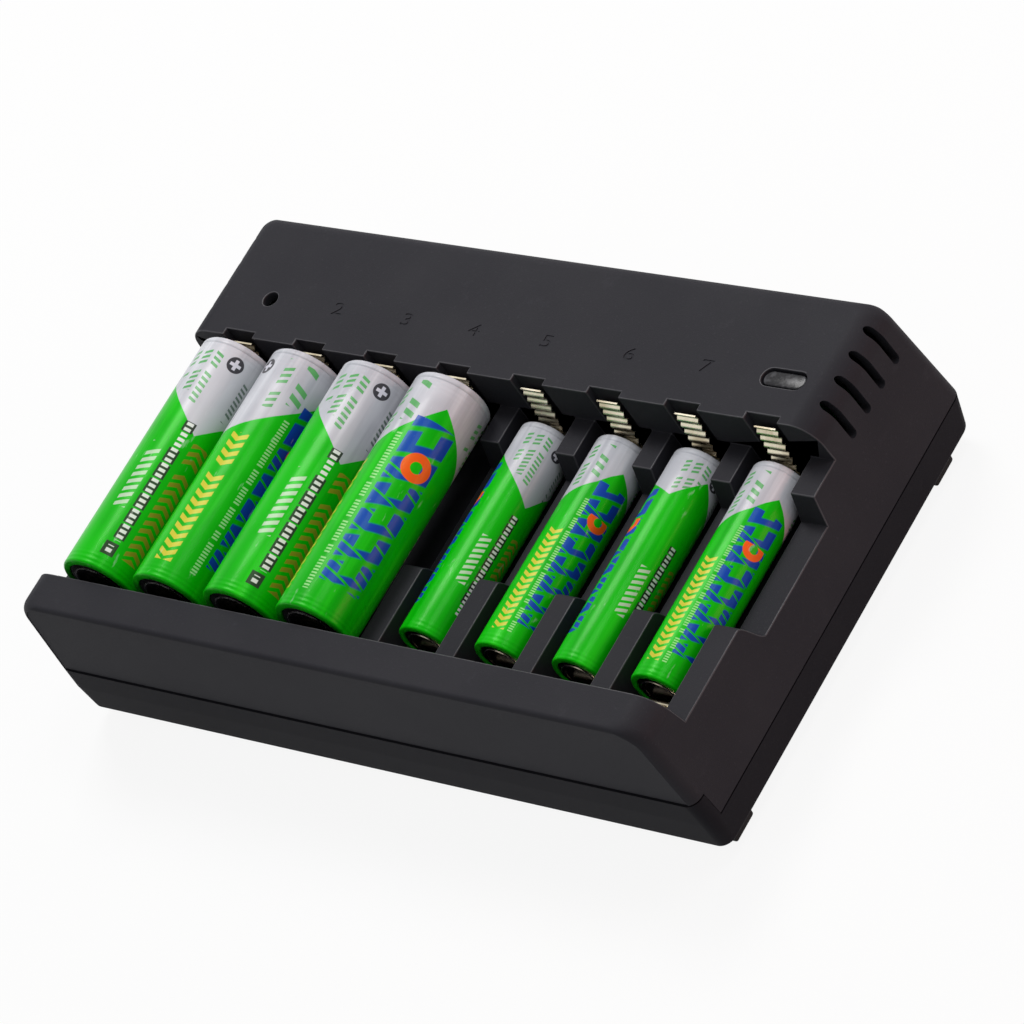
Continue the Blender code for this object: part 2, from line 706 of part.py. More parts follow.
def build_lower_case():
    item = add_object("lower_case", skin_solid(FOOT_DROP, CASE_TOP, 0.0), "base_black")
    combine(item, prism_x(seam_outline(-GAP / 2, False), -REACH, REACH), "INTERSECT")
    floor = FOOT_DROP + WALL
    cut(item, skin_solid(floor, CASE_TOP - BASE_WALL, BASE_WALL))
    join(item, tongue_solid())
    posts = bmesh.new()
    for centre in boss_centres():
        rod_into(posts, centre, POST_RADIUS, FOOT_DROP + WALL / 2, BOSS_FOOT - GAP, BOSS_SIDES)
    for x, y in STANDOFF_PLACES:
        rod_into(posts, (x, from_front(y)), STANDOFF_RADIUS, FOOT_DROP + WALL / 2, BOARD_UNDER - GAP, ROD_SIDES)
    join(item, posts)
    holes = bmesh.new()
    sinks = bmesh.new()
    for centre in boss_centres():
        rod_into(holes, centre, SCREW_RADIUS + GAP, 0.0, BOSS_FOOT + WALL, ROD_SIDES)
        rod_into(sinks, centre, HEAD_RADIUS + GAP, 0.0, HEAD_SEAT, SCREW_SIDES)
    cut(item, holes)
    cut(item, sinks)
    recesses = bmesh.new()
    for _, x, y in foot_centres():
        low = (x - FOOT_WIDTH / 2 - GAP, y - FOOT_LENGTH / 2 - GAP, 0.0)
        high = (x + FOOT_WIDTH / 2 + GAP, y + FOOT_LENGTH / 2 + GAP, FOOT_DROP + FOOT_RECESS)
        box_into(recesses, low, high)
    cut(item, recesses)
    return item


def build_feet():
    for name, x, y in foot_centres():
        bm = bmesh.new()
        top = FOOT_DROP + FOOT_RECESS - GAP
        box_into(bm, (x - FOOT_WIDTH / 2, y - FOOT_LENGTH / 2, 0.0),
                 (x + FOOT_WIDTH / 2, y + FOOT_LENGTH / 2, top))
        low = [v for v in bm.verts if v.co.z < top / 2]
        bmesh.ops.scale(bm, verts=low, vec=(1 - FOOT_TAPER / FOOT_WIDTH, 1 - FOOT_TAPER / FOOT_LENGTH, 1.0),
                        space=Matrix.Translation((-x, -y, 0.0)))
        edges = [e for e in bm.edges if all(v.co.z < top / 2 for v in e.verts)]
        bmesh.ops.bevel(bm, geom=edges, offset=FOOT_BEVEL, segments=1, affect="EDGES")
        add_object(name, bm, "foot_rubber")


def strip_path(foot):
    """Tail, then the corrugations, leaning back toward the deck."""
    tail = [(foot, BOARD_SEAT), (foot, STRIP_START - GAP)]
    steps = 2 * CREST_COUNT
    wave = []
    for i in range(steps + 1):
        share = i / steps
        side = CREST_DEPTH / 2 if i % 2 else -CREST_DEPTH / 2
        wave.append((foot + STRIP_LEAN * share + side, blend(STRIP_START, STRIP_END, share)))
    return tail + wave


def leaf_path():
    """Tail, the fold that an AAA cell meets, the run along the floor and the plate for an AA cell."""
    fold_bottom = LEAF_TOP - LEAF_FOLD
    return [
        (LEAF_TAIL, BOARD_SEAT),
        (LEAF_TAIL, LEAF_HINGE),
        (LEAF_FACE, fold_bottom),
        (LEAF_FACE - LEAF_FOLD / 2, LEAF_TOP),
        (LEAF_FACE - LEAF_FOLD - LEAF_FOLD / 2, LEAF_TOP),
        (LEAF_FACE - 2 * LEAF_FOLD, fold_bottom),
        (LEAF_TAIL - LEAF_KNEE, LEAF_RUN + LEAF_FOLD),
        (LEAF_TAIL - LEAF_KNEE - LEAF_FOLD, LEAF_RUN),
        (PLATE_FACE + LEAF_FOLD, LEAF_RUN),
        (PLATE_FACE, LEAF_RUN + LEAF_FOLD),
        (PLATE_FACE, PLATE_TOP),
        (PLATE_FACE - PLATE_CURL, PLATE_TOP + PLATE_CURL),
    ]


def build_contacts():
    leaf = [(from_front(y), z) for y, z in ribbon(leaf_path(), SHEET)]
    for bay in range(1, BAYS + 1):
        strip = [(from_front(y), z) for y, z in ribbon(strip_path(strip_foot(bay)), SHEET)]
        x = bay_x(bay)
        low = x - CONTACT_WIDTH / 2
        high = x + CONTACT_WIDTH / 2
        add_object(f"positive_strip_{bay}", prism_x(strip, low, high), "contact_nickel")
        hinge = (x, from_front(LEAF_TAIL), LEAF_HINGE)
        add_object(f"negative_contact_{bay}", prism_x(leaf, low, high), "contact_nickel", hinge)


def sleeve_profile(cell):
    """Closed section of the shrunk sleeve, rolled in over both ends."""
    radius = cell["radius"]
    length = cell["length"]
    soft = SLEEVE_SOFT
    outer = [(cell["open_minus"], 0.0), (radius - soft, 0.0), (radius, soft), (radius, length - 2 * soft),
             (radius - soft, length - soft / 2), (radius - 2 * soft, length), (cell["open_plus"], length)]
    inner = [(cell["open_plus"], length - SLEEVE), (radius - SLEEVE, length - 2 * soft - SLEEVE),
             (radius - SLEEVE, soft), (radius - soft - SLEEVE / 2, SLEEVE), (cell["open_minus"], SLEEVE)]
    return outer + inner


def can_profile(cell):
    """Section of the steel can from the negative disc to the positive button."""
    body = cell["radius"] - SLEEVE - GAP
    disc = cell["open_minus"] - GAP
    face = SLEEVE + GAP
    shoulder = cell["length"] - SLEEVE - GAP
    neck = cell["open_plus"] - GAP
    top = cell["length"] + cell["rise"]
    return [(0, 0.0), (disc, 0.0), (disc, face), (body - SLEEVE, face), (body, face + SLEEVE),
            (body, shoulder - 2 * SLEEVE_SOFT), (neck, shoulder), (cell["button"], shoulder),
            (cell["button"], top - SLEEVE), (cell["button"] - SLEEVE, top), (0, top)]


def build_cell(label, cell, x, start, height):
    def place(u, v, along):
        return x + u, from_front(start + along), height + v

    can = bmesh.new()
    turned_into(can, can_profile(cell), cell["sides"], place, looped=False)
    add_object(f"{label}_can", can, "cell_steel", (x, from_front(start), height), smooth=True)
    sleeve = bmesh.new()
    turned_into(sleeve, sleeve_profile(cell), cell["sides"], place, looped=True)
    add_object(f"{label}_sleeve", sleeve, "cell_sleeve", (x, from_front(start), height), smooth=True)


def build_cells():
    for bay in range(1, BAYS + 1):
        if bay <= AA_BAYS:
            build_cell(f"aa_cell_{bay}", AA_CELL, bay_x(bay), AA_START, AA_AXIS)
        else:
            build_cell(f"aaa_cell_{bay}", AAA_CELL, bay_x(bay), AAA_START, AAA_AXIS)


def build_boards():
    top = BOARD_UNDER + BOARD_THICK
    half = CASE_WIDTH / 2 - BOARD_MARGIN
    main = boxes(((-half, from_front(BOARD_FRONT), BOARD_UNDER), (half, from_front(BOARD_REAR), top)))
    main_board = add_object("main_board", main, "board_green")
    corner = bmesh.new()
    for centre in boss_centres():
        rod_into(corner, centre, POST_RADIUS + GAP, FOOT_DROP, CASE_TOP, BOSS_SIDES)
    cut(main_board, corner)
    y = from_front(MARK_ROW)
    half = CASE_WIDTH / 2 - LAMP_BOARD_MARGIN
    depth = LAMP_BOARD_DEPTH / 2
    lamp = boxes(((-half, y - depth, LAMP_BOARD_UNDER), (half, y + depth, LAMP_BOARD_UNDER + BOARD_THICK)))
    lamp_board = add_object("lamp_board", lamp, "board_green")
    holes = bmesh.new()
    for bay in PEG_BAYS:
        centre = (between_bays(bay), y)
        rod_into(holes, centre, PEG_PIN_RADIUS + GAP, LAMP_BOARD_UNDER - WALL, CASE_TOP, ROD_SIDES)
    cut(lamp_board, holes)


def build_lamps():
    low = LAMP_BOARD_UNDER + BOARD_THICK + GAP
    straight = LAMP_HEIGHT - LAMP_RADIUS
    profile = [(0, 0.0), (LAMP_RADIUS, 0.0), (LAMP_RADIUS, straight)]
    for degrees in (30, 60):
        angle = math.radians(degrees)
        profile.append((LAMP_RADIUS * math.cos(angle), straight + LAMP_RADIUS * math.sin(angle)))
    profile.append((0, LAMP_HEIGHT))
    y = from_front(MARK_ROW)
    for bay in range(1, BAYS + 1):
        x = lamp_x(bay)
        bm = bmesh.new()
        turned_into(bm, profile, LAMP_SIDES, lambda u, v, along: (x + u, y + v, low + along), looped=False)
        add_object(f"lamp_{bay}", bm, "lamp_resin", (x, y, low), smooth=True)


def build_window():
    bm = bmesh.new()
    top = CASE_TOP - WINDOW_SETBACK
    push_outline(bm, stadium(WINDOW_LENGTH, WINDOW_WIDTH, SLOT_STEPS), (bay_x(BAYS), from_front(MARK_ROW)), "Z",
                 top - WINDOW_THICK, top)
    add_object("deck_window", bm, "window_clear")


def build_inlet():
    body = bmesh.new()
    points = rounded_box_points(INLET_WIDTH, INLET_HEIGHT, INLET_ROUND, INLET_STEPS)
    push_outline(body, points, (INLET_X, INLET_Z), "Y", from_front(INLET_FRONT), from_front(INLET_REAR))
    item = add_object("inlet_socket", body, "inlet_plastic")
    flange = bmesh.new()
    wide = rounded_box_points(INLET_WIDTH + 2 * INLET_FLANGE, INLET_HEIGHT + 2 * INLET_FLANGE, INLET_ROUND,
                              INLET_STEPS)
    push_outline(flange, wide, (INLET_X, INLET_Z), "Y", from_front(INLET_FLANGE_START),
                 from_front(INLET_FLANGE_END - GAP))
    join(item, flange)
    recess = bmesh.new()
    push_outline(recess, stadium(SOCKET_WIDTH, SOCKET_HEIGHT, SLOT_STEPS), (INLET_X, INLET_Z), "Y",
                 from_front(INLET_REAR - SOCKET_DEPTH), from_front(INLET_REAR + WALL))
    cut(item, recess)
    holes = bmesh.new()
    length = PIN_END - PIN_START
    for name, side in (("left", -1), ("right", 1)):
        x = INLET_X + side * PIN_SPACING / 2
        bore = [(0, -WALL), (PIN_RADIUS + GAP, -WALL), (PIN_RADIUS + GAP, length), (0, length)]
        tip = PIN_RADIUS / 2
        solid = [(0, 0.0), (PIN_RADIUS, 0.0), (PIN_RADIUS, length - tip), (PIN_RADIUS - tip, length),
                 (0, length)]

        def place(u, v, along):
            return x + u, from_front(PIN_START) + along, INLET_Z + v

        turned_into(holes, bore, PIN_SIDES, place, looped=False)
        pin = bmesh.new()
        turned_into(pin, solid, PIN_SIDES, place, looped=False)
        add_object(f"inlet_pin_{name}", pin, "pin_brass", smooth=True)
    bmesh.ops.recalc_face_normals(holes, faces=holes.faces)
    cut(item, holes)


def build_board_pieces():
    seat = BOARD_SEAT
    y = from_front(HEAD_MIDDLE)
    x = COIL_X
    wide, deep, tall = COIL_SIZE
    coil = boxes(((x - wide / 2, y - deep / 2, seat), (x + wide / 2, y + deep / 2, seat + tall)))
    item = add_object("supply_transformer", coil, "coil_tape")
    wide, deep, tall_core = CORE_SIZE
    low = seat + (tall - tall_core) / 2
    join(item, boxes(((x - wide / 2, y - deep / 2, low), (x + wide / 2, y + deep / 2, low + tall_core))))
    soft = CAN_RADIUS / 6
    profile = [(0, 0.0), (CAN_RADIUS - soft, 0.0), (CAN_RADIUS, soft), (CAN_RADIUS, CAN_HEIGHT - soft),
               (CAN_RADIUS - soft, CAN_HEIGHT), (0, CAN_HEIGHT)]
    can = bmesh.new()
    turned_into(can, profile, HOLE_SIDES, lambda u, v, along: (CAN_X + u, y + v, seat + along), looped=False)
    add_object("supply_capacitor", can, "can_sleeve", smooth=True)
    x = SINK_X
    thick, deep, tall = SINK_SIZE
    sink = add_object("heat_sink", boxes(((x, y - deep / 2, seat), (x + thick, y + deep / 2, seat + tall))),
                      "sink_aluminium")
    join(sink, boxes(((x, y - deep / 2, seat), (x + SINK_FOOT, y + deep / 2, seat + thick))))


def build_screws():
    head = HEAD_SEAT - GAP - HEAD_HEIGHT
    soft = HEAD_HEIGHT / 3
    rim = head + HEAD_HEIGHT
    profile = [(0, head), (HEAD_RADIUS - soft, head), (HEAD_RADIUS, head + soft), (HEAD_RADIUS, rim),
               (SCREW_RADIUS, rim), (SCREW_RADIUS, SCREW_TOP - SCREW_RADIUS), (0, SCREW_TOP)]
    for number, (x, y) in enumerate(boss_centres(), start=1):
        bm = bmesh.new()
        turned_into(bm, profile, SCREW_SIDES, lambda u, v, along: (x + u, y + v, along), looped=False)
        add_object(f"case_screw_{number}", bm, "screw_zinc", smooth=True)


def main():
    clear_scene()
    build_upper_case()
    build_lower_case()
    build_feet()
    build_contacts()
    build_cells()
    build_boards()
    build_lamps()
    build_window()
    build_inlet()
    build_board_pieces()
    build_screws()


main()
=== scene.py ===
"""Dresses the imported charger: fine shells, folded contacts, wrapped cells, surface materials, light and camera."""
import math

import bmesh
import bpy
from mathutils import Matrix, Vector


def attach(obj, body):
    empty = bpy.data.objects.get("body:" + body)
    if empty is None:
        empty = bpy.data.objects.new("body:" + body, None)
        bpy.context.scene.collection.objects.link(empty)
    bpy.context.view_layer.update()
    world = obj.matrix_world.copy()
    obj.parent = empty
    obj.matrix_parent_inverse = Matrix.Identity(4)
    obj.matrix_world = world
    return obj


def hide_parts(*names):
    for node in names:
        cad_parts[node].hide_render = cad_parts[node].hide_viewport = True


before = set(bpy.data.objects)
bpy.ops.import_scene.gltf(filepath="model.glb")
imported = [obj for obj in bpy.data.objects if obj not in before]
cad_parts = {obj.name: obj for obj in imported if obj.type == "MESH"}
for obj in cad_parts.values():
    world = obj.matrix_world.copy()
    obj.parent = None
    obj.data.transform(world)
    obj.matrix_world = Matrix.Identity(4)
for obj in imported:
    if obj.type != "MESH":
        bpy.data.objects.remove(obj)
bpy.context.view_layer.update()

MM = 0.001

# ------------------------------------------------------------- sizes shared with the solids
GAP = 0.3 * MM
CASE_WIDTH, CASE_DEPTH = 144.0 * MM, 88.4 * MM
FOOT_DROP, CHANNEL_FLOOR = 3.0 * MM, 16.7 * MM
SADDLE, RIB_TOP, CASE_TOP = CHANNEL_FLOOR + 3.6 * MM, CHANNEL_FLOOR + 9.3 * MM, CHANNEL_FLOOR + 17.4 * MM
SIDE_SEAM, FRONT_SEAM, SEAM_STEP = 9.8 * MM, 15.0 * MM, 2.9 * MM
WALL, BASE_WALL = 2.0 * MM, 2.6 * MM
SIDE_DRAFT, FRONT_DRAFT, REAR_DRAFT = 2.7 * MM, 0.4 * MM, 1.2 * MM
BASE_TUCK, BASE_REAR_TUCK = 0.3 * MM, 1.6 * MM
SIDE_ROUND, REAR_ROUND, FRONT_ROUND = 4.5 * MM, 2.6 * MM, 0.9 * MM
BASE_ROUND, CORNER_ROUND, CORNER_ROUND_LEAST, CORNER_STEPS = 0.8 * MM, 2.4 * MM, 0.6 * MM, 12
BAYS, AA_BAYS, PITCH, BAY_SHIFT, RIB = 8, 4, 16.6 * MM, 1.0 * MM, 4.2 * MM
LIP_INNER, LIP_FOOT, LIP_CORE = 7.7 * MM, 9.1 * MM, 5.1 * MM
FRONT_RISE_END, SADDLE_START, SADDLE_END, BLOCK_START = 26.8 * MM, 30.4 * MM, 51.9 * MM, 53.4 * MM
DECK_FRONT, HEAD_CORE = 60.9 * MM, 64.0 * MM
NOTCH_WIDTH, NOTCH_DEPTH = 6.8 * MM, 1.3 * MM
NUMERAL_SIZE, NUMERAL_STRETCH, NUMERAL_DEPTH = 3.6 * MM, 1.5, 0.14 * MM
NUMERAL_SHIFTS = {2: 1.7 * MM, 3: 1.0 * MM, 4: -0.2 * MM, 5: -0.7 * MM, 6: 0.8 * MM, 7: 0.3 * MM}
MARK_ROW, LAMP_HOLE, LAMP_HOLE_OFFSET = 69.5 * MM, 3.0 * MM, 2.2 * MM
WINDOW_LENGTH, WINDOW_WIDTH, WINDOW_THICK = 8.5 * MM, 3.0 * MM, 1.0 * MM
WINDOW_LEDGE, WINDOW_SETBACK = 0.9 * MM, 0.3 * MM
VENTS, VENT_FIRST, VENT_PITCH, VENT_WIDTH = 4, 66.7 * MM, 5.1 * MM, 1.7 * MM
VENT_BOTTOM, VENT_TOP, VENT_REACH = CASE_TOP - 9.4 * MM, CASE_TOP - 0.9 * MM, 9.0 * MM
POCKET_WIDTH, POCKET_DEPTH = 6.0 * MM, 1.0 * MM
POCKET_BOTTOM, POCKET_TOP = CASE_TOP - 10.8 * MM, CASE_TOP - 1.2 * MM
SHEET, CONTACT_WIDTH, SLOT_WIDTH = 0.3 * MM, 4.4 * MM, 5.2 * MM
BOARD_TOP = CHANNEL_FLOOR - 5.9 * MM
STRIP_FOOT, STRIP_HEAD = 59.5 * MM, 61.15 * MM
STRIP_START, STRIP_END = CHANNEL_FLOOR + 1.4 * MM, CASE_TOP - 1.9 * MM
CRESTS, CREST_DEPTH, STRIP_SLOT = 9, 0.45 * MM, 2.0 * MM
AA_START, AAA_START = 9.4 * MM, 14.9 * MM
LEAF_TAIL, LEAF_FOLD, LEAF_BEND = 14.3 * MM, 0.55 * MM, 0.5 * MM
LEAF_TOP, LEAF_RUN, LEAF_HINGE = CHANNEL_FLOOR + 4.6 * MM, CHANNEL_FLOOR + 1.2 * MM, CHANNEL_FLOOR - 2.8 * MM
LEAF_FACE = AAA_START - GAP - SHEET / 2
PLATE_FACE = AA_START - GAP - SHEET / 2
PLATE_TOP, PLATE_CURL, LEAF_SLOT = CASE_TOP - 3.0 * MM, 0.7 * MM, 1.7 * MM
AA_CELL = dict(radius=7.2 * MM, length=49.1 * MM, button=2.75 * MM, rise=1.4 * MM,
               open_minus=5.9 * MM, open_plus=5.2 * MM, axis=30.2007 * MM, gold=0.75, dots=0.885)
AAA_CELL = dict(radius=5.2 * MM, length=43.4 * MM, button=1.9 * MM, rise=0.9 * MM,
                open_minus=4.1 * MM, open_plus=3.6 * MM, axis=CHANNEL_FLOOR + GAP + 5.2 * MM, gold=0.835, dots=0.905)
SLEEVE, SLEEVE_SOFT = 0.3 * MM, 0.5 * MM
INLET_X, INLET_Z = -40.0 * MM, 18.9 * MM
INLET_WIDTH, INLET_HEIGHT, INLET_ROUND = 17.6 * MM, 10.4 * MM, 3.0 * MM
INLET_FRONT, INLET_REAR, INLET_FLANGE, INLET_FLANGE_START = 74.0 * MM, 87.7 * MM, 1.2 * MM, 82.6 * MM
INLET_FLANGE_END = 85.6 * MM
SOCKET_WIDTH, SOCKET_HEIGHT, SOCKET_DEPTH = 15.4 * MM, 8.4 * MM, 10.0 * MM
PIN_RADIUS, PIN_SPACING, PIN_START, PIN_END = 1.2 * MM, 8.6 * MM, 71.5 * MM, 86.2 * MM
BOSS_PLACES = ((64.4 * MM, 20.0 * MM), (55.0 * MM, 79.0 * MM))
BOSS_FOOT, POST_RADIUS, SCREW_RADIUS, SCREW_TOP = 8.9 * MM, 3.2 * MM, 1.0 * MM, 13.7 * MM
HEAD_RADIUS, HEAD_HEIGHT, HEAD_SEAT = 2.2 * MM, 1.1 * MM, 4.8 * MM
FOOT_WIDTH, FOOT_LENGTH, FOOT_X = 7.0 * MM, 6.0 * MM, 66.8 * MM
FOOT_PLACES = {"front": 6.0 * MM, "rear": 77.6 * MM}
FOOT_RECESS, FOOT_TAPER, FOOT_BEVEL = 1.0 * MM, 0.4 * MM, 0.7 * MM
FAR = 0.2
# A round takes up this share of the room beside its edge, and is left out where less than a share of it is left
TINY, ROOM_SHARE, LEAST_ROUND = 0.02 * MM, 0.40, 0.3
UPPER_SOFT, LOWER_SOFT, LENS_SOFT, FOOT_SOFT, INLET_SOFT = 0.20 * MM, 0.18 * MM, 0.3 * MM, 0.22 * MM, 0.25 * MM
# Fine steps on the turned pieces, and half the cross slot of a screw
STEP, CLEAR, RIM = 0.12 * MM, 0.06 * MM, 0.35 * MM
CROSS_LENGTH, CROSS_WIDTH, CROSS_DEPTH = 1.35 * MM, 0.24 * MM, 0.65 * MM


def from_front(distance):
    return distance - CASE_DEPTH / 2


def bay_x(bay):
    return BAY_SHIFT + (bay - (BAYS + 1) / 2) * PITCH


# ------------------------------------------------------------- mesh helpers
def to_object(name, bm, look=None):
    bmesh.ops.recalc_face_normals(bm, faces=bm.faces)
    mesh = bpy.data.meshes.new(name)
    bm.to_mesh(mesh)
    bm.free()
    item = bpy.data.objects.new(name, mesh)
    bpy.context.scene.collection.objects.link(item)
    if look:
        mesh.materials.append(look)
    return item


def dress(item, node, body="charger"):
    """Puts a finished piece in the place of a solid."""
    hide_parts(node)
    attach(item, body)


def bake(item):
    """Applies an object's modifiers to its mesh."""
    bpy.context.view_layer.update()
    graph = bpy.context.evaluated_depsgraph_get()
    result = bpy.data.meshes.new_from_object(item.evaluated_get(graph))
    item.modifiers.clear()
    old = item.data
    item.data = result
    bpy.data.meshes.remove(old)


def combine(item, tool_bm, operation):
    tool = to_object("tool", tool_bm)
    modifier = item.modifiers.new("boolean", "BOOLEAN")
    modifier.operation = operation
    modifier.solver = "EXACT"
    modifier.object = tool
    bake(item)
    bpy.data.objects.remove(tool, do_unlink=True)


def cut(item, tool_bm):
    combine(item, tool_bm, "DIFFERENCE")


def join(item, tool_bm):
    combine(item, tool_bm, "UNION")


def box_into(bm, low_corner, high_corner):
    size = [b - a for a, b in zip(low_corner, high_corner)]
    centre = [(a + b) / 2 for a, b in zip(low_corner, high_corner)]
    bmesh.ops.create_cube(bm, size=1.0, matrix=Matrix.Translation(centre) @ Matrix.Diagonal((*size, 1.0)))


def rod_into(bm, centre, radius, bottom, top, sides=32):
    matrix = Matrix.Translation((centre[0], centre[1], (bottom + top) / 2))
    bmesh.ops.create_cone(bm, cap_ends=True, segments=sides, radius1=radius, radius2=radius,
                          depth=top - bottom, matrix=matrix)


def push(bm, near, shift):
    verts = [bm.verts.new(p) for p in near]
    pushed = bmesh.ops.extrude_face_region(bm, geom=[bm.faces.new(verts)])
    far = [v for v in pushed["geom"] if isinstance(v, bmesh.types.BMVert)]
    bmesh.ops.translate(bm, verts=far, vec=shift)


def prism_x_into(bm, outline, x_low, x_high):
    push(bm, [(x_low, y, z) for y, z in outline], (x_high - x_low, 0, 0))


def prism_x(outline, x_low, x_high):
    bm = bmesh.new()
    prism_x_into(bm, outline, x_low, x_high)
    return bm


def push_y(bm, points, centre, start, end):
    push(bm, [(centre[0] + u, start, centre[1] + v) for u, v in points], (0, end - start, 0))


def inlet_block(points, start, end):
    """A solid along the inlet's axis, between two distances from the front."""
    bm = bmesh.new()
    push_y(bm, points, (INLET_X, INLET_Z), from_front(start), from_front(end))
    return bm


def stadium(width, height, steps=14):
    radius = height / 2
    reach = width / 2 - radius
    points = []
    for side in (1, -1):
        for i in range(steps + 1):
            angle = -math.pi / 2 + math.pi * i / steps
            points.append((side * (reach + radius * math.cos(angle)), side * radius * math.sin(angle)))
    return points


def window_block(length, width, bottom, top):
    """A solid with round ends at the place of the deck's window."""
    bm = bmesh.new()
    x, y = bay_x(BAYS), from_front(MARK_ROW)
    push(bm, [(x + u, y + v, bottom) for u, v in stadium(length, width)], (0, 0, top - bottom))
    return bm


def arc(centre, radius, start, end, steps):
    angles = [math.radians(start + (end - start) * i / steps) for i in range(steps + 1)]
    return [(centre[0] + radius * math.cos(angle), centre[1] + radius * math.sin(angle)) for angle in angles]


def rounded_box_points(width, height, radius, steps=CORNER_STEPS):
    points = []
    for sx, sy, start in ((1, -1, -90), (1, 1, 0), (-1, 1, 90), (-1, -1, 180)):
        points += arc((sx * (width / 2 - radius), sy * (height / 2 - radius)), radius, start, start + 90, steps)
    return points


def turned_into(bm, profile, sides, place, looped):
    rings = []
    for radius, along in profile:
        if radius == 0:
            rings.append([bm.verts.new(place(0.0, 0.0, along))])
            continue
        rings.append([bm.verts.new(place(radius * math.cos(2 * math.pi * i / sides),
                                         radius * math.sin(2 * math.pi * i / sides), along))
                      for i in range(sides)])
    pairs = list(zip(rings, rings[1:]))
    if looped:
        pairs.append((rings[-1], rings[0]))
    for first, second in pairs:
        for i in range(sides):
            j = (i + 1) % sides
            if len(first) == 1:
                bm.faces.new((first[0], second[i], second[j]))
            elif len(second) == 1:
                bm.faces.new((first[i], second[0], first[j]))
            else:
                bm.faces.new((first[i], second[i], second[j], first[j]))


def ribbon(path, thickness):
    left, right = [], []
    for i, point in enumerate(path):
        here = Vector(point)
        ahead = Vector(path[min(i + 1, len(path) - 1)]) - here
        behind = here - Vector(path[max(i - 1, 0)])
        ahead = ahead.normalized() if ahead.length else behind.normalized()
        behind = behind.normalized() if behind.length else ahead
        middle = (ahead + behind).normalized()
        normal = Vector((-middle.y, middle.x))
        reach = thickness / 2 / max(middle.dot(ahead), 0.5)
        left.append(tuple(here + normal * reach))
        right.append(tuple(here - normal * reach))
    return left + right[::-1]


def rounded_path(path, radius, steps=6):
    """A path whose inner corners are drawn as arcs."""
    points = [path[0]]
    for before, here, after in zip(path, path[1:], path[2:]):
        a = Vector(before) - Vector(here)
        b = Vector(after) - Vector(here)
        reach = min(radius, a.length * 0.45, b.length * 0.45)
        start = Vector(here) + a.normalized() * reach
        end = Vector(here) + b.normalized() * reach
        for i in range(steps + 1):
            t = i / steps
            points.append(tuple(start * (1 - t) ** 2 + Vector(here) * (2 * t * (1 - t)) + end * t ** 2))
    points.append(path[-1])
    return points


def room_beside(edge, sharp):
    """How far the faces at an edge reach to its side, from the edges that leave its two ends."""
    room, corners = 1.0, 0
    for here in edge.verts:
        along = (edge.other_vert(here).co - here.co).normalized()
        is_corner = False
        for other in here.link_edges:
            run = other.other_vert(here).co - here.co
            across = (run - along * run.dot(along)).length
            if other is edge or across < 0.5 * run.length:
                continue
            room = min(room, across)
            is_corner = is_corner or other in sharp
        corners += is_corner
    if corners:
        room = min(room, edge.calc_length() * (3 - corners))
    return room


def soften(item, width, segments=2, angle=38, highlight_look=None, stays_sharp=None):
    """Rounds the sharp edges of a finished solid where they have room. Outer edges can take a lighter look of their
    own, a painted highlight.
    """
    bm = bmesh.new()
    bm.from_mesh(item.data)
    bmesh.ops.remove_doubles(bm, verts=bm.verts, dist=TINY)
    bmesh.ops.dissolve_limit(bm, angle_limit=math.radians(0.4), verts=bm.verts, edges=bm.edges)
    bmesh.ops.holes_fill(bm, edges=[edge for edge in bm.edges if edge.is_boundary], sides=8)
    bm.normal_update()
    layer = bm.edges.layers.float.new("bevel_weight_edge")
    sharp = {e for e in bm.edges if len(e.link_faces) == 2 and e.calc_face_angle() > math.radians(angle)}
    for edge in sharp:
        if stays_sharp and stays_sharp((edge.verts[0].co + edge.verts[1].co) / 2):
            continue
        weight = min(1.0, ROOM_SHARE * room_beside(edge, sharp) / width)
        if weight > LEAST_ROUND:
            edge[layer] = weight
    bm.to_mesh(item.data)
    bm.free()
    modifier = item.modifiers.new("soft", "BEVEL")
    modifier.width = width
    modifier.segments = segments
    modifier.limit_method = "WEIGHT"
    modifier.use_clamp_overlap = False
    modifier.harden_normals = False
    if highlight_look:
        item.data.materials.append(highlight_look)
        modifier.material = 1
    bake(item)
    if highlight_look:
        keep_outer_edges(item)
    shade(item)


def keep_outer_edges(item):
    """Gives the rounded inner corners back to the first material, so that only the outer edges keep the painted
    highlight.
    """
    bm = bmesh.new()
    bm.from_mesh(item.data)
    bm.normal_update()
    for face in bm.faces:
        if face.material_index != 1:
            continue
        bend = sum(edge.calc_length() * edge.calc_face_angle_signed(0.0) for edge in face.edges)
        if bend <= 0.0:
            face.material_index = 0
    bm.to_mesh(item.data)
    bm.free()


def shade(item, angle=40):
    item.data.shade_smooth()
    item.data.set_sharp_from_angle(angle=math.radians(angle))


def even(item, broad=1.2 * MM, angle=40):
    """Broad faces stay flat, and the roundings beside them run into them without a step."""
    mesh = item.data
    flats = {}
    is_broad = set()
    for face in mesh.polygons:
        rim = sum((mesh.vertices[a].co - mesh.vertices[b].co).length for a, b in face.edge_keys)
        if 2 * face.area > broad * rim:
            is_broad.add(face.index)
            for vertex in face.vertices:
                flats.setdefault(vertex, []).append(face)
    limit = math.cos(math.radians(angle))
    normals = [tuple(corner.vector) for corner in mesh.corner_normals]
    for face in mesh.polygons:
        for corner in face.loop_indices:
            if face.index in is_broad:
                normals[corner] = tuple(face.normal)
                continue
            near = [f for f in flats.get(mesh.loops[corner].vertex_index, []) if f.normal.dot(face.normal) > limit]
            if near:
                normals[corner] = tuple(max(near, key=lambda f: f.area).normal)
    mesh.normals_split_custom_set(normals)


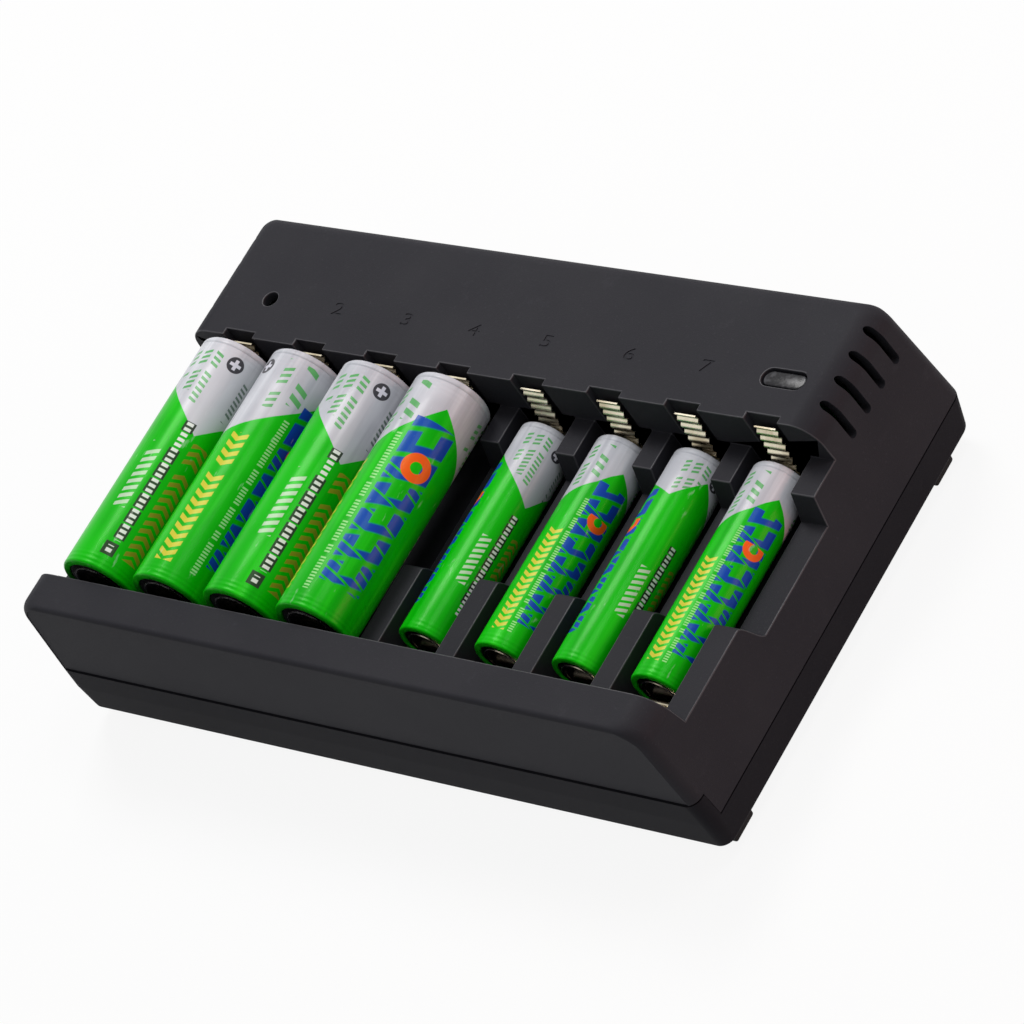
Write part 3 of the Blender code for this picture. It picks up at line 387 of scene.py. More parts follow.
# ------------------------------------------------------------- material helpers
class Nodes:
    """Writes small shader trees as expressions."""

    def __init__(self, name, roughness, metallic=0.0, colour=(0.5, 0.5, 0.5)):
        self.material = bpy.data.materials.new(name)
        self.material.use_nodes = True
        self.tree = self.material.node_tree
        self.shader = self.tree.nodes["Principled BSDF"]
        self.shader.inputs["Roughness"].default_value = roughness
        self.shader.inputs["Metallic"].default_value = metallic
        self.shader.inputs["Base Color"].default_value = (*colour, 1.0)
        self.material.diffuse_color = (*colour, 1.0)

    def put(self, socket, value):
        if isinstance(value, bpy.types.NodeSocket):
            self.tree.links.new(value, socket)
        elif isinstance(value, (tuple, list)) and len(value) == 3 and socket.type == "RGBA":
            socket.default_value = (*value, 1.0)
        else:
            socket.default_value = value

    def math(self, operation, *values, clamp=False):
        node = self.tree.nodes.new("ShaderNodeMath")
        node.operation = operation
        node.use_clamp = clamp
        for socket, value in zip(node.inputs, values):
            self.put(socket, value)
        return node.outputs[0]

    def plus(self, first, second):
        return self.math("ADD", first, second)

    def minus(self, first, second):
        return self.math("SUBTRACT", first, second)

    def times(self, first, second):
        return self.math("MULTIPLY", first, second)

    def hypot(self, first, second):
        return self.math("SQRT", self.plus(self.math("POWER", first, 2.0), self.math("POWER", second, 2.0)))

    def mix(self, factor, first, second):
        node = self.tree.nodes.new("ShaderNodeMix")
        node.data_type = "RGBA"
        self.put(node.inputs["Factor"], factor)
        self.put(node.inputs[6], first)
        self.put(node.inputs[7], second)
        return node.outputs[2]

    def ramp(self, value, start, end, first=0.0, last=1.0):
        node = self.tree.nodes.new("ShaderNodeMapRange")
        node.interpolation_type = "SMOOTHSTEP"
        self.put(node.inputs["Value"], value)
        node.inputs["From Min"].default_value = start
        node.inputs["From Max"].default_value = end
        node.inputs["To Min"].default_value = first
        node.inputs["To Max"].default_value = last
        return node.outputs["Result"]

    def coordinates(self, kind="Object", scale=(1.0, 1.0, 1.0)):
        source = self.tree.nodes.new("ShaderNodeTexCoord").outputs[kind]
        if scale == (1.0, 1.0, 1.0):
            return source
        mapping = self.tree.nodes.new("ShaderNodeMapping")
        mapping.inputs["Scale"].default_value = scale
        self.put(mapping.inputs["Vector"], source)
        return mapping.outputs[0]

    def noise(self, scale, detail=2.0, vector=None, roughness=0.5):
        node = self.tree.nodes.new("ShaderNodeTexNoise")
        node.inputs["Scale"].default_value = scale
        node.inputs["Detail"].default_value = detail
        node.inputs["Roughness"].default_value = roughness
        self.put(node.inputs["Vector"], vector if vector is not None else self.coordinates())
        return node.outputs["Fac"]

    def curve(self, value, points):
        """A value read from straight lines between (0 to 1, 0 to 1) points."""
        node = self.tree.nodes.new("ShaderNodeFloatCurve")
        line = node.mapping.curves[0]
        for x, y in points[1:-1]:
            line.points.new(x, y)
        line.points[0].location = points[0]
        line.points[-1].location = points[-1]
        for point in line.points:
            point.handle_type = "VECTOR"
        node.mapping.update()
        self.put(node.inputs["Value"], value)
        return node.outputs["Value"]

    def chance(self, value):
        """A steady random number for each whole value."""
        node = self.tree.nodes.new("ShaderNodeTexWhiteNoise")
        node.noise_dimensions = "1D"
        self.put(node.inputs["W"], self.math("FLOOR", value))
        return node.outputs["Value"]

    def band(self, value, start, end, soft):
        """1 between two values and 0 outside them."""
        rise = self.ramp(value, start - soft, start + soft)
        return self.times(rise, self.ramp(value, end - soft, end + soft, 1.0, 0.0))

    def bump(self, height, distance, strength=1.0):
        node = self.tree.nodes.new("ShaderNodeBump")
        node.inputs["Distance"].default_value = distance
        node.inputs["Strength"].default_value = strength
        self.put(node.inputs["Height"], height)
        self.put(self.shader.inputs["Normal"], node.outputs["Normal"])

    def colour(self, value):
        self.put(self.shader.inputs["Base Color"], value)

    def rough(self, value):
        self.put(self.shader.inputs["Roughness"], value)


def moulded(name, colour, lighter, roughness, specular=0.12):
    """Plastic with a fine spark-eroded texture, faint clouding and a few pale specks of dust."""
    m = Nodes(name, roughness, colour=colour)
    grain = m.noise(5200.0, 3.0, roughness=0.65)
    cloud = m.noise(55.0, 3.0)
    speck = m.ramp(m.noise(1900.0, 2.0), 0.62, 0.74, 0.0, 0.20)
    scuff = m.ramp(m.noise(140.0, 5.0, roughness=0.7), 0.60, 0.72, 0.0, 0.16)
    base = m.mix(m.ramp(cloud, 0.3, 0.7), colour, lighter)
    base = m.mix(m.plus(speck, scuff), base, tuple(2.2 * c for c in lighter))
    m.colour(base)
    m.rough(m.plus(roughness - 0.10, m.times(grain, 0.2)))
    m.shader.inputs["Specular IOR Level"].default_value = specular
    m.bump(grain, 0.00006, 0.6)
    return m.material


def brushed(name, colour, darker, roughness, scale=(1.0, 1.0, 1.0), relief=0.000008):
    m = Nodes(name, roughness, 1.0, colour)
    lines = m.noise(900.0, 3.0, m.coordinates(scale=scale))
    tarnish = m.noise(210.0, 3.0)
    m.colour(m.mix(m.ramp(tarnish, 0.42, 0.72), colour, darker))
    m.rough(m.plus(roughness - 0.06, m.times(lines, 0.16)))
    m.bump(lines, relief, 0.5)
    return m.material


def plain_plastic(name, colour, roughness, spread=0.15):
    m = Nodes(name, roughness, colour=colour)
    cloud = m.noise(160.0, 3.0)
    m.colour(m.mix(m.ramp(cloud, 0.3, 0.7), colour, tuple(min(1.0, c * (1 + 2 * spread)) for c in colour)))
    grain = m.noise(3600.0, 2.0)
    m.rough(m.plus(roughness - 0.06, m.times(grain, 0.12)))
    m.bump(grain, 0.00003, 0.3)
    return m.material


class Wrap(Nodes):
    """Glossy printed sleeve. U runs once round the cell and V from the negative end to the positive one.
    Places along the cell are millimetres from the positive end of an AA cell, and places round it are turns."""

    def __init__(self, name, cell, boundary):
        super().__init__(name, 0.24)
        self.length = cell["length"] / MM
        self.girth = 2 * math.pi * cell["radius"] / MM
        self.scale = cell["radius"] / AA_CELL["radius"]
        self.stretch = cell["length"] / AA_CELL["length"]
        split = self.tree.nodes.new("ShaderNodeSeparateXYZ")
        self.put(split.inputs[0], self.coordinates("UV"))
        self.turned = self.math("FRACT", split.outputs["X"])
        self.rise = split.outputs["Y"]
        self.drop = self.times(self.minus(1.0, self.rise), self.length)
        self.print_ground(boundary)
        self.print_columns(cell["gold"], cell["dots"])
        self.print_polarity(0.35)
        self.print_polarity(0.67)
        self.finish()

    def across(self, centre):
        """Millimetres round the cell from a line along it."""
        turned = self.math("FRACT", self.plus(self.turned, 1.5 - centre))
        return self.times(self.minus(turned, 0.5), self.girth)

    def column(self, centre, half, first, last, pitch, fill, lean=0.0, bent=0.0, kept=1.0):
        """Bars in a row along the cell, in millimetres from the positive end, with some left out."""
        side = self.across(centre)
        pitch *= self.scale
        along = self.plus(self.drop, self.times(side, lean))
        along = self.plus(along, self.times(self.math("ABSOLUTE", side), bent))
        count = self.math("DIVIDE", along, pitch)
        mask = self.band(self.math("FRACT", count), 0.05, fill, 0.04)
        mask = self.times(mask, self.band(side, -half * self.scale, half * self.scale, 0.05))
        mask = self.times(mask, self.band(self.drop, first, last * self.stretch, 0.05))
        if kept < 1.0:
            mask = self.times(mask, self.math("LESS_THAN", self.chance(count), kept))
        return mask

    def print_ground(self, boundary):
        """Green below and silver above a line that is given by points once round the cell."""
        edge = self.times(self.curve(self.turned, [(u, h / self.length) for u, h in boundary]), self.length)
        self.silver = self.ramp(self.minus(edge, self.drop), -0.08, 0.08)
        cloud = self.noise(70.0, 3.0)
        # Lighter and darker streaks along the cell, on the green and on the silver, are painted reflections on the
        # glossy film.
        reflection_streak = self.noise(420.0, 3.0, self.coordinates(scale=(1.0, 0.05, 1.0)))
        green = self.mix(self.ramp(cloud, 0.3, 0.7), (0.002, 0.36, 0.002), (0.004, 0.44, 0.002))
        green = self.mix(self.ramp(reflection_streak, 0.50, 0.72, 0.0, 0.55), green, (0.020, 0.56, 0.010))
        green = self.mix(self.ramp(reflection_streak, 0.46, 0.28, 0.0, 0.45), green, (0.001, 0.25, 0.003))
        metal = self.mix(self.ramp(cloud, 0.35, 0.65), (0.40, 0.41, 0.45), (0.49, 0.50, 0.54))
        metal = self.mix(self.ramp(reflection_streak, 0.52, 0.74, 0.0, 0.6), metal, (0.66, 0.67, 0.71))
        metal = self.mix(self.ramp(reflection_streak, 0.46, 0.30, 0.0, 0.5), metal, (0.29, 0.30, 0.34))
        self.body = self.mix(self.silver, green, metal)

    def add(self, mask, colour):
        self.body = self.mix(mask, self.body, colour)

    def print_columns(self, gold_line, dots_line):
        """Abstract marks in the wrap's colours, where its print stands."""
        far = 45.5
        # Broad slanted blocks down the front panel, with slits in them and one in orange
        blocks = self.column(0.0, 3.9, 9.0, 43.0, 5.4, 0.86, lean=0.32)
        slits = self.column(0.0, 1.5, 9.0, far, 5.4, 0.56, lean=0.32)
        rungs = self.column(0.0, 3.9, 9.0, far, 1.8, 0.30, lean=-0.30, kept=0.5)
        blocks = self.math("SUBTRACT", blocks, self.math("MAXIMUM", slits, rungs), clamp=True)
        self.add(blocks, (0.006, 0.045, 0.36))
        line, height, inside, outside = 0.015, 17.8, 1.1, 2.7
        ring = self.hypot(self.across(line), self.minus(self.drop, height * self.stretch))
        blob = self.times(self.column(line, 3.0, 15.0, 20.6, 40.0, 0.95),
                          self.band(ring, inside * self.scale, outside * self.scale, 0.06))
        self.add(blob, (0.78, 0.10, 0.010))
        # Gold chevrons, and darker ones round the side
        gold = self.column(gold_line, 1.75, 18.5, far, 1.75, 0.62, bent=0.55, kept=0.86)
        self.add(self.times(gold, 0.9), (0.60, 0.50, 0.045))
        brown = self.column(0.41, 1.6, 20.5, far, 1.65, 0.60, bent=-0.55, kept=0.84)
        self.add(self.times(brown, 0.85), (0.29, 0.21, 0.016))
        # A row of pale dots, small marks in silver white, and a black strip with white dots
        dots = self.column(dots_line, 0.55, 13.0, far, 0.62, 0.58, kept=0.8)
        self.add(self.times(dots, 0.65), (0.42, 0.74, 0.34))
        pale = self.column(0.25, 1.25, 23.0, 37.0, 1.55, 0.60, lean=0.45, kept=0.85)
        self.add(self.times(pale, 0.8), (0.50, 0.60, 0.48))
        black, white = (0.018, 0.030, 0.018), (0.66, 0.70, 0.66)
        self.add(self.column(0.325, 1.05, 17.5, 43.0, 3.3, 0.93, kept=0.9), black)
        self.add(self.column(0.325, 0.62, 17.5, 43.0, 1.1, 0.62), white)
        self.add(self.column(0.315, 1.25, 43.6, 46.2, 40.0, 0.95), black)
        self.add(self.column(0.315, 0.55, 44.2, 45.6, 1.4, 0.70), (0.62, 0.66, 0.62))
        # Small green dashes on the silver band
        dashes = self.column(0.50, 1.0, 2.5, 13.5, 1.25, 0.55, lean=0.4, kept=0.8)
        rows = ((0.59, 0.9, 16.5, 1.15, -0.4), (0.22, 0.8, 12.0, 1.1, 0.4), (0.275, 0.8, 14.0, 1.1, -0.4),
                (0.165, 0.7, 9.5, 1.2, 0.4), (0.87, 1.2, 10.5, 2.1, -0.4), (0.785, 0.9, 12.5, 1.3, 0.4))
        for line, half, last, pitch, lean in rows:
            row = self.column(line, half, 2.2, last, pitch, 0.58, lean=lean, kept=0.8)
            dashes = self.math("MAXIMUM", dashes, row)
        self.add(self.times(self.times(dashes, self.silver), 0.85), (0.030, 0.30, 0.040))
        dark = self.column(0.43, 0.6, 5.5, 14.5, 0.9, 0.55, lean=-0.3, kept=0.8)
        self.add(self.times(self.times(dark, self.silver), 0.8), (0.030, 0.090, 0.050))

    def print_polarity(self, centre):
        """A dark disc with a pale cross near the positive end."""
        depth, soft = 4.3, 0.05
        size = 1.55 * self.scale
        long_arm, short_arm = 0.66 * size, 0.2 * size
        side = self.across(centre)
        along = self.minus(self.drop, depth)
        reach = self.hypot(side, along)
        arms = [self.times(self.band(side, -a, a, soft), self.band(along, -b, b, soft))
                for a, b in ((long_arm, short_arm), (short_arm, long_arm))]
        mark = self.mix(self.math("MAXIMUM", *arms), (0.035, 0.035, 0.042), (0.55, 0.55, 0.62))
        self.body = self.mix(self.ramp(reach, size - soft, size + soft, 1.0, 0.0), self.body, mark)

    def finish(self):
        """Shrink rings and wrinkles near both ends, fine creases along the film and light scuffs."""
        scuff = self.ramp(self.noise(700.0, 4.0, self.coordinates(scale=(1.0, 0.3, 1.0))), 0.66, 0.74, 0.0, 0.22)
        self.colour(self.mix(scuff, self.body, (0.70, 0.74, 0.72)))
        rim = self.plus(self.band(self.rise, -0.02, 0.045, 0.025), self.band(self.rise, 0.93, 1.02, 0.03))
        rings = self.math("SINE", self.times(self.drop, 7.0))
        wrinkle = self.noise(900.0, 3.0, self.coordinates(scale=(1.0, 0.35, 1.0)))
        crease = self.noise(300.0, 2.0, self.coordinates(scale=(1.0, 0.08, 1.0)))
        ends = self.times(rim, self.plus(self.times(rings, 0.30), wrinkle))
        self.bump(self.plus(self.times(crease, 0.6), ends), 0.00007, 0.7)
        self.rough(self.plus(0.20, self.times(crease, 0.18)))
        self.shader.inputs["Specular IOR Level"].default_value = 0.15
        self.put(self.shader.inputs["Specular Tint"], self.mix(self.silver, (0.35, 1.0, 0.30), (1.0, 1.0, 1.0)))
        self.shader.inputs["Coat Weight"].default_value = 0.03
        self.shader.inputs["Coat Roughness"].default_value = 0.10


CASE = moulded("case_plastic", (0.0170, 0.0168, 0.0210), (0.0200, 0.0198, 0.0240), 0.60, 0.08)
# A lighter copy of the case plastic for the rounded outer edges: a painted highlight along them.
CASE_EDGE_HIGHLIGHT = moulded("case_edge_painted_highlight", (0.029, 0.0285, 0.034), (0.037, 0.0365, 0.042), 0.46, 0.24)
BASE = moulded("base_plastic", (0.0100, 0.0098, 0.0125), (0.0120, 0.0118, 0.0148), 0.60, 0.04)
# A lighter copy of the base plastic for the rounded outer edges: a painted highlight along them.
BASE_EDGE_HIGHLIGHT = moulded("base_edge_painted_highlight", (0.018, 0.0177, 0.021), (0.024, 0.0236, 0.027), 0.48, 0.20)
RUBBER = moulded("foot_rubber", (0.012, 0.012, 0.013), (0.018, 0.018, 0.019), 0.78)
NICKEL = brushed("contact_nickel", (0.72, 0.66, 0.52), (0.46, 0.39, 0.27), 0.25, (0.25, 1.0, 1.0))
STEEL = brushed("cell_steel", (0.62, 0.60, 0.60), (0.36, 0.33, 0.32), 0.26)
# The same steel as the can, painted dark for the negative ends: a painted dark reflection.
DISC_PAINTED_DARK = brushed("cell_minus_painted_dark", (0.070, 0.062, 0.061), (0.050, 0.043, 0.042), 0.22, relief=0.000001)
ZINC = brushed("screw_zinc", (0.60, 0.60, 0.62), (0.42, 0.42, 0.43), 0.32)
PIN = brushed("pin_metal", (0.80, 0.74, 0.58), (0.60, 0.55, 0.40), 0.24)
SINK = brushed("sink_metal", (0.70, 0.71, 0.72), (0.52, 0.53, 0.54), 0.38, (1.0, 0.2, 1.0))
INLET = plain_plastic("inlet_plastic", (0.017, 0.017, 0.018), 0.46)
BOARD = plain_plastic("board_green", (0.018, 0.15, 0.055), 0.42)
LAMP = plain_plastic("lamp_resin", (0.34, 0.36, 0.33), 0.18)
TAPE = plain_plastic("coil_tape", (0.60, 0.42, 0.05), 0.40)
SHRINK = plain_plastic("can_sleeve", (0.025, 0.035, 0.09), 0.30)
# How far the green stays from the positive end, in millimetres, at points once round the cell
AA_EDGE = ((0.0, 5.9), (0.36, 19.5), (0.44, 15.7), (0.52, 13.0), (0.60, 18.5), (0.61, 18.8), (0.70, 17.3), (0.75, 16.1),
           (0.80, 14.6), (0.85, 12.8), (0.90, 10.8), (0.95, 8.5), (1.0, 5.9))
AAA_EDGE = ((0.0, 6.0), (0.345, 15.2), (0.42, 12.0), (0.50, 10.0), (0.58, 14.5), (0.73, 13.6), (0.90, 9.5), (0.95, 7.6),
            (1.0, 6.0))
TURNED_EDGE = ((0.0, 7.65), (0.16, 9.66), (0.307, 4.75), (0.50, 12.0), (0.80, 10.2), (1.0, 7.65))
WRAP_AA = Wrap("wrap_aa", AA_CELL, AA_EDGE).material
WRAP_AAA = Wrap("wrap_aaa", AAA_CELL, AAA_EDGE).material
WRAP_TURNED = Wrap("wrap_turned", AAA_CELL, TURNED_EDGE).material


def window_material():
    m = Nodes("window_smoke", 0.10, colour=(0.05, 0.05, 0.055))
    cloud = m.noise(520.0, 3.0)
    # The lighter streaks on the dark lens are a painted glassy reflection.
    reflection_streak = m.ramp(cloud, 0.50, 0.62)
    m.colour(m.mix(reflection_streak, (0.008, 0.008, 0.010), (0.040, 0.040, 0.045)))
    m.rough(m.plus(0.16, m.times(cloud, 0.16)))
    m.bump(cloud, 0.00008, 0.5)
    m.shader.inputs["Specular IOR Level"].default_value = 0.18
    return m.material


WINDOW = window_material()


# ------------------------------------------------------------- the two shells
def rounding_inset(radius, top, z):
    rise = z - (top - radius)
    if rise <= 0 or radius <= 0:
        return 0.0
    return radius - math.sqrt(max(radius ** 2 - rise ** 2, 0.0))


def mix_size(start, end, share):
    return start + (end - start) * min(max(share, 0.0), 1.0)


def skin_ring(z, inset):
    base = FOOT_DROP
    below = (z - base) / (SIDE_SEAM - base)
    above = (z - SIDE_SEAM) / (CASE_TOP - SIDE_SEAM)
    front_above = (z - FRONT_SEAM) / (CASE_TOP - FRONT_SEAM)
    tuck = mix_size(BASE_TUCK, 0.0, below)
    if z < base + BASE_ROUND and inset == 0:
        drop = base + BASE_ROUND - z
        tuck += BASE_ROUND - math.sqrt(max(BASE_ROUND ** 2 - drop ** 2, 0.0))
    top = CASE_TOP - inset
    half = CASE_WIDTH / 2 - tuck - mix_size(0.0, SIDE_DRAFT, above) - inset
    half -= rounding_inset(SIDE_ROUND - inset, top, z)
    front = tuck + mix_size(0.0, FRONT_DRAFT, front_above) + inset
    front += rounding_inset(max(FRONT_ROUND - inset, 0.0), top, z)
    rear = CASE_DEPTH - tuck - mix_size(BASE_REAR_TUCK, 0.0, below) - mix_size(0.0, REAR_DRAFT, above) - inset
    rear -= rounding_inset(REAR_ROUND - inset, top, z)
    radius = max(CORNER_ROUND - inset, CORNER_ROUND_LEAST)
    middle = from_front((front + rear) / 2)
    return [(x, middle + y, z) for x, y in rounded_box_points(2 * half, rear - front, radius)]


def skin_solid(bottom, top, inset):
    levels = {bottom, top}
    if inset == 0:
        levels |= {bottom + BASE_ROUND * (1 - math.cos(math.radians(a))) for a in range(15, 91, 15)}
    levels |= {z for z in (SIDE_SEAM, FRONT_SEAM) if bottom < z < top}
    for radius in (SIDE_ROUND - inset, REAR_ROUND - inset, FRONT_ROUND - inset):
        if radius <= 0:
            continue
        for degrees in range(0, 90, 9):
            z = CASE_TOP - inset - radius + radius * math.sin(math.radians(degrees))
            if bottom < z < top - TINY and all(abs(z - other) > 3 * TINY for other in levels):
                levels.add(z)
    bm = bmesh.new()
    rings = [[bm.verts.new(p) for p in skin_ring(z, inset)] for z in sorted(levels)]
    count = len(rings[0])
    for lower, upper in zip(rings, rings[1:]):
        for i in range(count):
            j = (i + 1) % count
            bm.faces.new((lower[i], lower[j], upper[j], upper[i]))
    bm.faces.new(rings[0][::-1])
    bm.faces.new(rings[-1])
    return bm


def seam_outline(offset, top):
    end = FAR if top else -FAR
    step = from_front(SEAM_STEP) + offset / 4
    return [(-FAR, FRONT_SEAM + offset), (step, FRONT_SEAM + offset), (step, SIDE_SEAM + offset),
            (FAR, SIDE_SEAM + offset), (FAR, end), (-FAR, end)]


def s_curve(start, end, steps=16):
    points = []
    for i in range(steps + 1):
        share = i / steps
        ease = (1 - math.cos(math.pi * share)) / 2
        points.append((mix_size(start[0], end[0], share), mix_size(start[1], end[1], ease)))
    return points


def bay_profile():
    line = [(LIP_INNER, FAR), (LIP_INNER, CASE_TOP), (LIP_FOOT, RIB_TOP)]
    line += s_curve((FRONT_RISE_END, RIB_TOP), (SADDLE_START, SADDLE))
    line += [(SADDLE_END, SADDLE), (BLOCK_START, RIB_TOP), (DECK_FRONT, RIB_TOP), (DECK_FRONT, FAR)]
    return [(from_front(y), z) for y, z in line]


def core_profile():
    under = CHANNEL_FLOOR - WALL
    line = [(-FAR, -FAR), (-FAR, FAR), (LIP_CORE, FAR), (LIP_CORE, under), (HEAD_CORE, under),
            (HEAD_CORE, FAR), (CASE_DEPTH + FAR, FAR), (CASE_DEPTH + FAR, -FAR)]
    return [(from_front(y), z) for y, z in line]


def as_bmesh(item):
    bm = bmesh.new()
    bm.from_mesh(item.data)
    bpy.data.objects.remove(item, do_unlink=True)
    return bm


def boss_centres():
    for x, y in BOSS_PLACES:
        for side in (-1, 1):
            yield side * x, from_front(y)


def foot_centres():
    for place, y in FOOT_PLACES.items():
        for name, side in (("left", -1), ("right", 1)):
            yield f"foot_{place}_{name}", side * FOOT_X, from_front(y)


def digit_solid(text, centre, size, depth):
    """A plain numeral standing through the deck's surface, to engrave it."""
    curve = bpy.data.curves.new("numeral", "FONT")
    curve.body = text
    curve.size = size
    curve.align_x = "CENTER"
    curve.align_y = "CENTER"
    curve.resolution_u = 4
    curve.extrude = depth
    item = bpy.data.objects.new("numeral", curve)
    item.location = (centre[0], centre[1], CASE_TOP)
    item.scale = (NUMERAL_STRETCH, 1.0, 1.0)
    bpy.context.scene.collection.objects.link(item)
    bpy.context.view_layer.update()
    mesh = bpy.data.meshes.new_from_object(item.evaluated_get(bpy.context.evaluated_depsgraph_get()))
    mesh.transform(item.matrix_world)
    bm = bmesh.new()
    bm.from_mesh(mesh)
    bmesh.ops.remove_doubles(bm, verts=bm.verts, dist=1e-6)
    bpy.data.objects.remove(item, do_unlink=True)
    bpy.data.curves.remove(curve)
    bpy.data.meshes.remove(mesh)
    return bm


# The lip's front face lies a little back inside a fine rim, which bends down at both ends
RIM_TOP, RIM_SIDE, RIM_TURN, RIM_STEP = 0.8 * MM, 1.5 * MM, 4.6 * MM, 0.3 * MM


def front_recess():
    top = CASE_TOP - RIM_TOP
    half = CASE_WIDTH / 2 - RIM_SIDE
    slope = SIDE_DRAFT / (CASE_TOP - SIDE_SEAM)
    bottom = FRONT_SEAM - GAP
    right = [(half - slope * (bottom - SIDE_SEAM), bottom)]
    bend = (half - slope * (top - RIM_TURN - SIDE_SEAM) - RIM_TURN, top - RIM_TURN)
    right += arc(bend, RIM_TURN, 0, 90, 12)
    outline = right + [(-x, z) for x, z in right[::-1]]
    bm = bmesh.new()
    near = []
    for x, z in outline:
        lean = FRONT_DRAFT * (z - FRONT_SEAM) / (CASE_TOP - FRONT_SEAM)
        near.append((x, from_front(lean - MM), z))
    push(bm, near, (0, MM + RIM_STEP, 0))
    return bm


def on_upper_seam_or_vent(spot):
    """Where the upper shell's edges stay sharp: its front face, its seam and its end vents."""
    at_vents = spot.y > from_front(VENT_FIRST - VENT_PITCH / 2) and spot.z > VENT_BOTTOM - MM
    near_front = spot.y < from_front(SEAM_STEP + MM) and spot.z < FRONT_SEAM + 0.5 * MM
    return (spot.y < from_front(FRONT_ROUND) or spot.z < SIDE_SEAM + 0.5 * MM or near_front
            or at_vents and abs(spot.x) > CASE_WIDTH / 2 - VENT_REACH)


def upper_shell():
    item = to_object("case_top", skin_solid(FOOT_DROP, CASE_TOP, 0.0), CASE)
    combine(item, prism_x(seam_outline(GAP / 2, True), -FAR, FAR), "INTERSECT")
    cut(item, prism_x(bay_profile(), -FAR, FAR))
    channels, grooves, pockets, slots = (bmesh.new() for _ in range(4))
    channel = PITCH - RIB
    for bay in range(1, BAYS + 1):
        x = bay_x(bay)
        box_into(channels, (x - channel / 2, from_front(LIP_INNER), CHANNEL_FLOOR),
                 (x + channel / 2, from_front(DECK_FRONT), CASE_TOP + WALL))
        box_into(grooves, (x - NOTCH_WIDTH / 2, from_front(DECK_FRONT - WALL), CHANNEL_FLOOR + GAP),
                 (x + NOTCH_WIDTH / 2, from_front(DECK_FRONT + NOTCH_DEPTH), CASE_TOP + WALL))
        box_into(pockets, (x - POCKET_WIDTH / 2, from_front(LIP_INNER - POCKET_DEPTH), POCKET_BOTTOM),
                 (x + POCKET_WIDTH / 2, from_front(LIP_INNER + WALL), POCKET_TOP))
        for middle, depth in ((STRIP_FOOT, STRIP_SLOT), (LEAF_TAIL, LEAF_SLOT)):
            box_into(slots, (x - SLOT_WIDTH / 2, from_front(middle - depth / 2), CHANNEL_FLOOR - 2 * WALL),
                     (x + SLOT_WIDTH / 2, from_front(middle + depth / 2), CHANNEL_FLOOR + WALL))
    for tool in (channels, grooves, pockets):
        cut(item, tool)
    core = to_object("core", skin_solid(0.0, CASE_TOP - WALL, WALL))
    combine(core, prism_x(core_profile(), -FAR, FAR), "INTERSECT")
    cut(item, as_bmesh(core))
    cut(item, slots)
    vents = bmesh.new()
    middle = (VENT_BOTTOM + VENT_TOP) / 2
    outline = [(b, a) for a, b in stadium(VENT_TOP - VENT_BOTTOM, VENT_WIDTH)]
    for side in (-1, 1):
        inner = side * (CASE_WIDTH / 2 - VENT_REACH)
        for vent in range(VENTS):
            y = from_front(VENT_FIRST + vent * VENT_PITCH)
            ends = sorted((inner, side * FAR))
            prism_x_into(vents, [(y + a, middle + b) for a, b in outline], *ends)
    cut(item, vents)
    y = from_front(MARK_ROW)
    lens_foot = CASE_TOP - WINDOW_SETBACK - WINDOW_THICK
    opening = window_block(WINDOW_LENGTH + 2 * GAP, WINDOW_WIDTH + 2 * GAP, lens_foot - GAP, CASE_TOP + WALL)
    rod_into(opening, (bay_x(1) + LAMP_HOLE_OFFSET, y), LAMP_HOLE / 2, CASE_TOP - 2 * WALL, CASE_TOP + WALL, 40)
    cut(item, opening)
    cut(item, window_block(WINDOW_LENGTH - 2 * WINDOW_LEDGE, WINDOW_WIDTH - WINDOW_LEDGE,
                           CASE_TOP - 2 * WALL, lens_foot))
    cut(item, inlet_block(rounded_box_points(INLET_WIDTH + 2 * GAP, INLET_HEIGHT + 2 * GAP, INLET_ROUND + GAP),
                          INLET_FLANGE_END, CASE_DEPTH + WALL))
    cut(item, front_recess())
    for bay in range(2, BAYS):
        cut(item, digit_solid(str(bay), (bay_x(bay) + NUMERAL_SHIFTS[bay], y), NUMERAL_SIZE, NUMERAL_DEPTH))
    soften(item, UPPER_SOFT, highlight_look=CASE_EDGE_HIGHLIGHT, stays_sharp=on_upper_seam_or_vent)
    even(item)
    dress(item, "upper_case")
    return item


def lower_shell():
    item = to_object("case_bottom", skin_solid(FOOT_DROP, CASE_TOP, 0.0), BASE)
    combine(item, prism_x(seam_outline(-GAP / 2, False), -FAR, FAR), "INTERSECT")
    cut(item, skin_solid(FOOT_DROP + WALL, CASE_TOP - BASE_WALL, BASE_WALL))
    posts, holes, sinks, recesses = (bmesh.new() for _ in range(4))
    for centre in boss_centres():
        rod_into(posts, centre, POST_RADIUS, FOOT_DROP + WALL / 2, BOSS_FOOT - GAP)
        rod_into(holes, centre, SCREW_RADIUS + GAP, 0.0, BOSS_FOOT + WALL)
        rod_into(sinks, centre, HEAD_RADIUS + GAP, 0.0, HEAD_SEAT)
    for _, x, y in foot_centres():
        box_into(recesses, (x - FOOT_WIDTH / 2 - GAP, y - FOOT_LENGTH / 2 - GAP, 0.0),
                 (x + FOOT_WIDTH / 2 + GAP, y + FOOT_LENGTH / 2 + GAP, FOOT_DROP + FOOT_RECESS))
    join(item, posts)
    for tool in (holes, sinks, recesses):
        cut(item, tool)
    soften(item, LOWER_SOFT, highlight_look=BASE_EDGE_HIGHLIGHT, stays_sharp=lambda spot: spot.z > SIDE_SEAM - 0.5 * MM)
    even(item)
    dress(item, "lower_case")
    return item


# ------------------------------------------------------------- contacts
def contacts(name, path):
    """One folded strip in each bay, along a path in the bay's long section."""
    outline = [(from_front(y), z) for y, z in ribbon(path, SHEET)]
    for bay in range(1, BAYS + 1):
        x = bay_x(bay)
        item = to_object(f"{name}_{bay}", prism_x(outline, x - CONTACT_WIDTH / 2, x + CONTACT_WIDTH / 2), NICKEL)
        shade(item, 50)
        yield bay, item


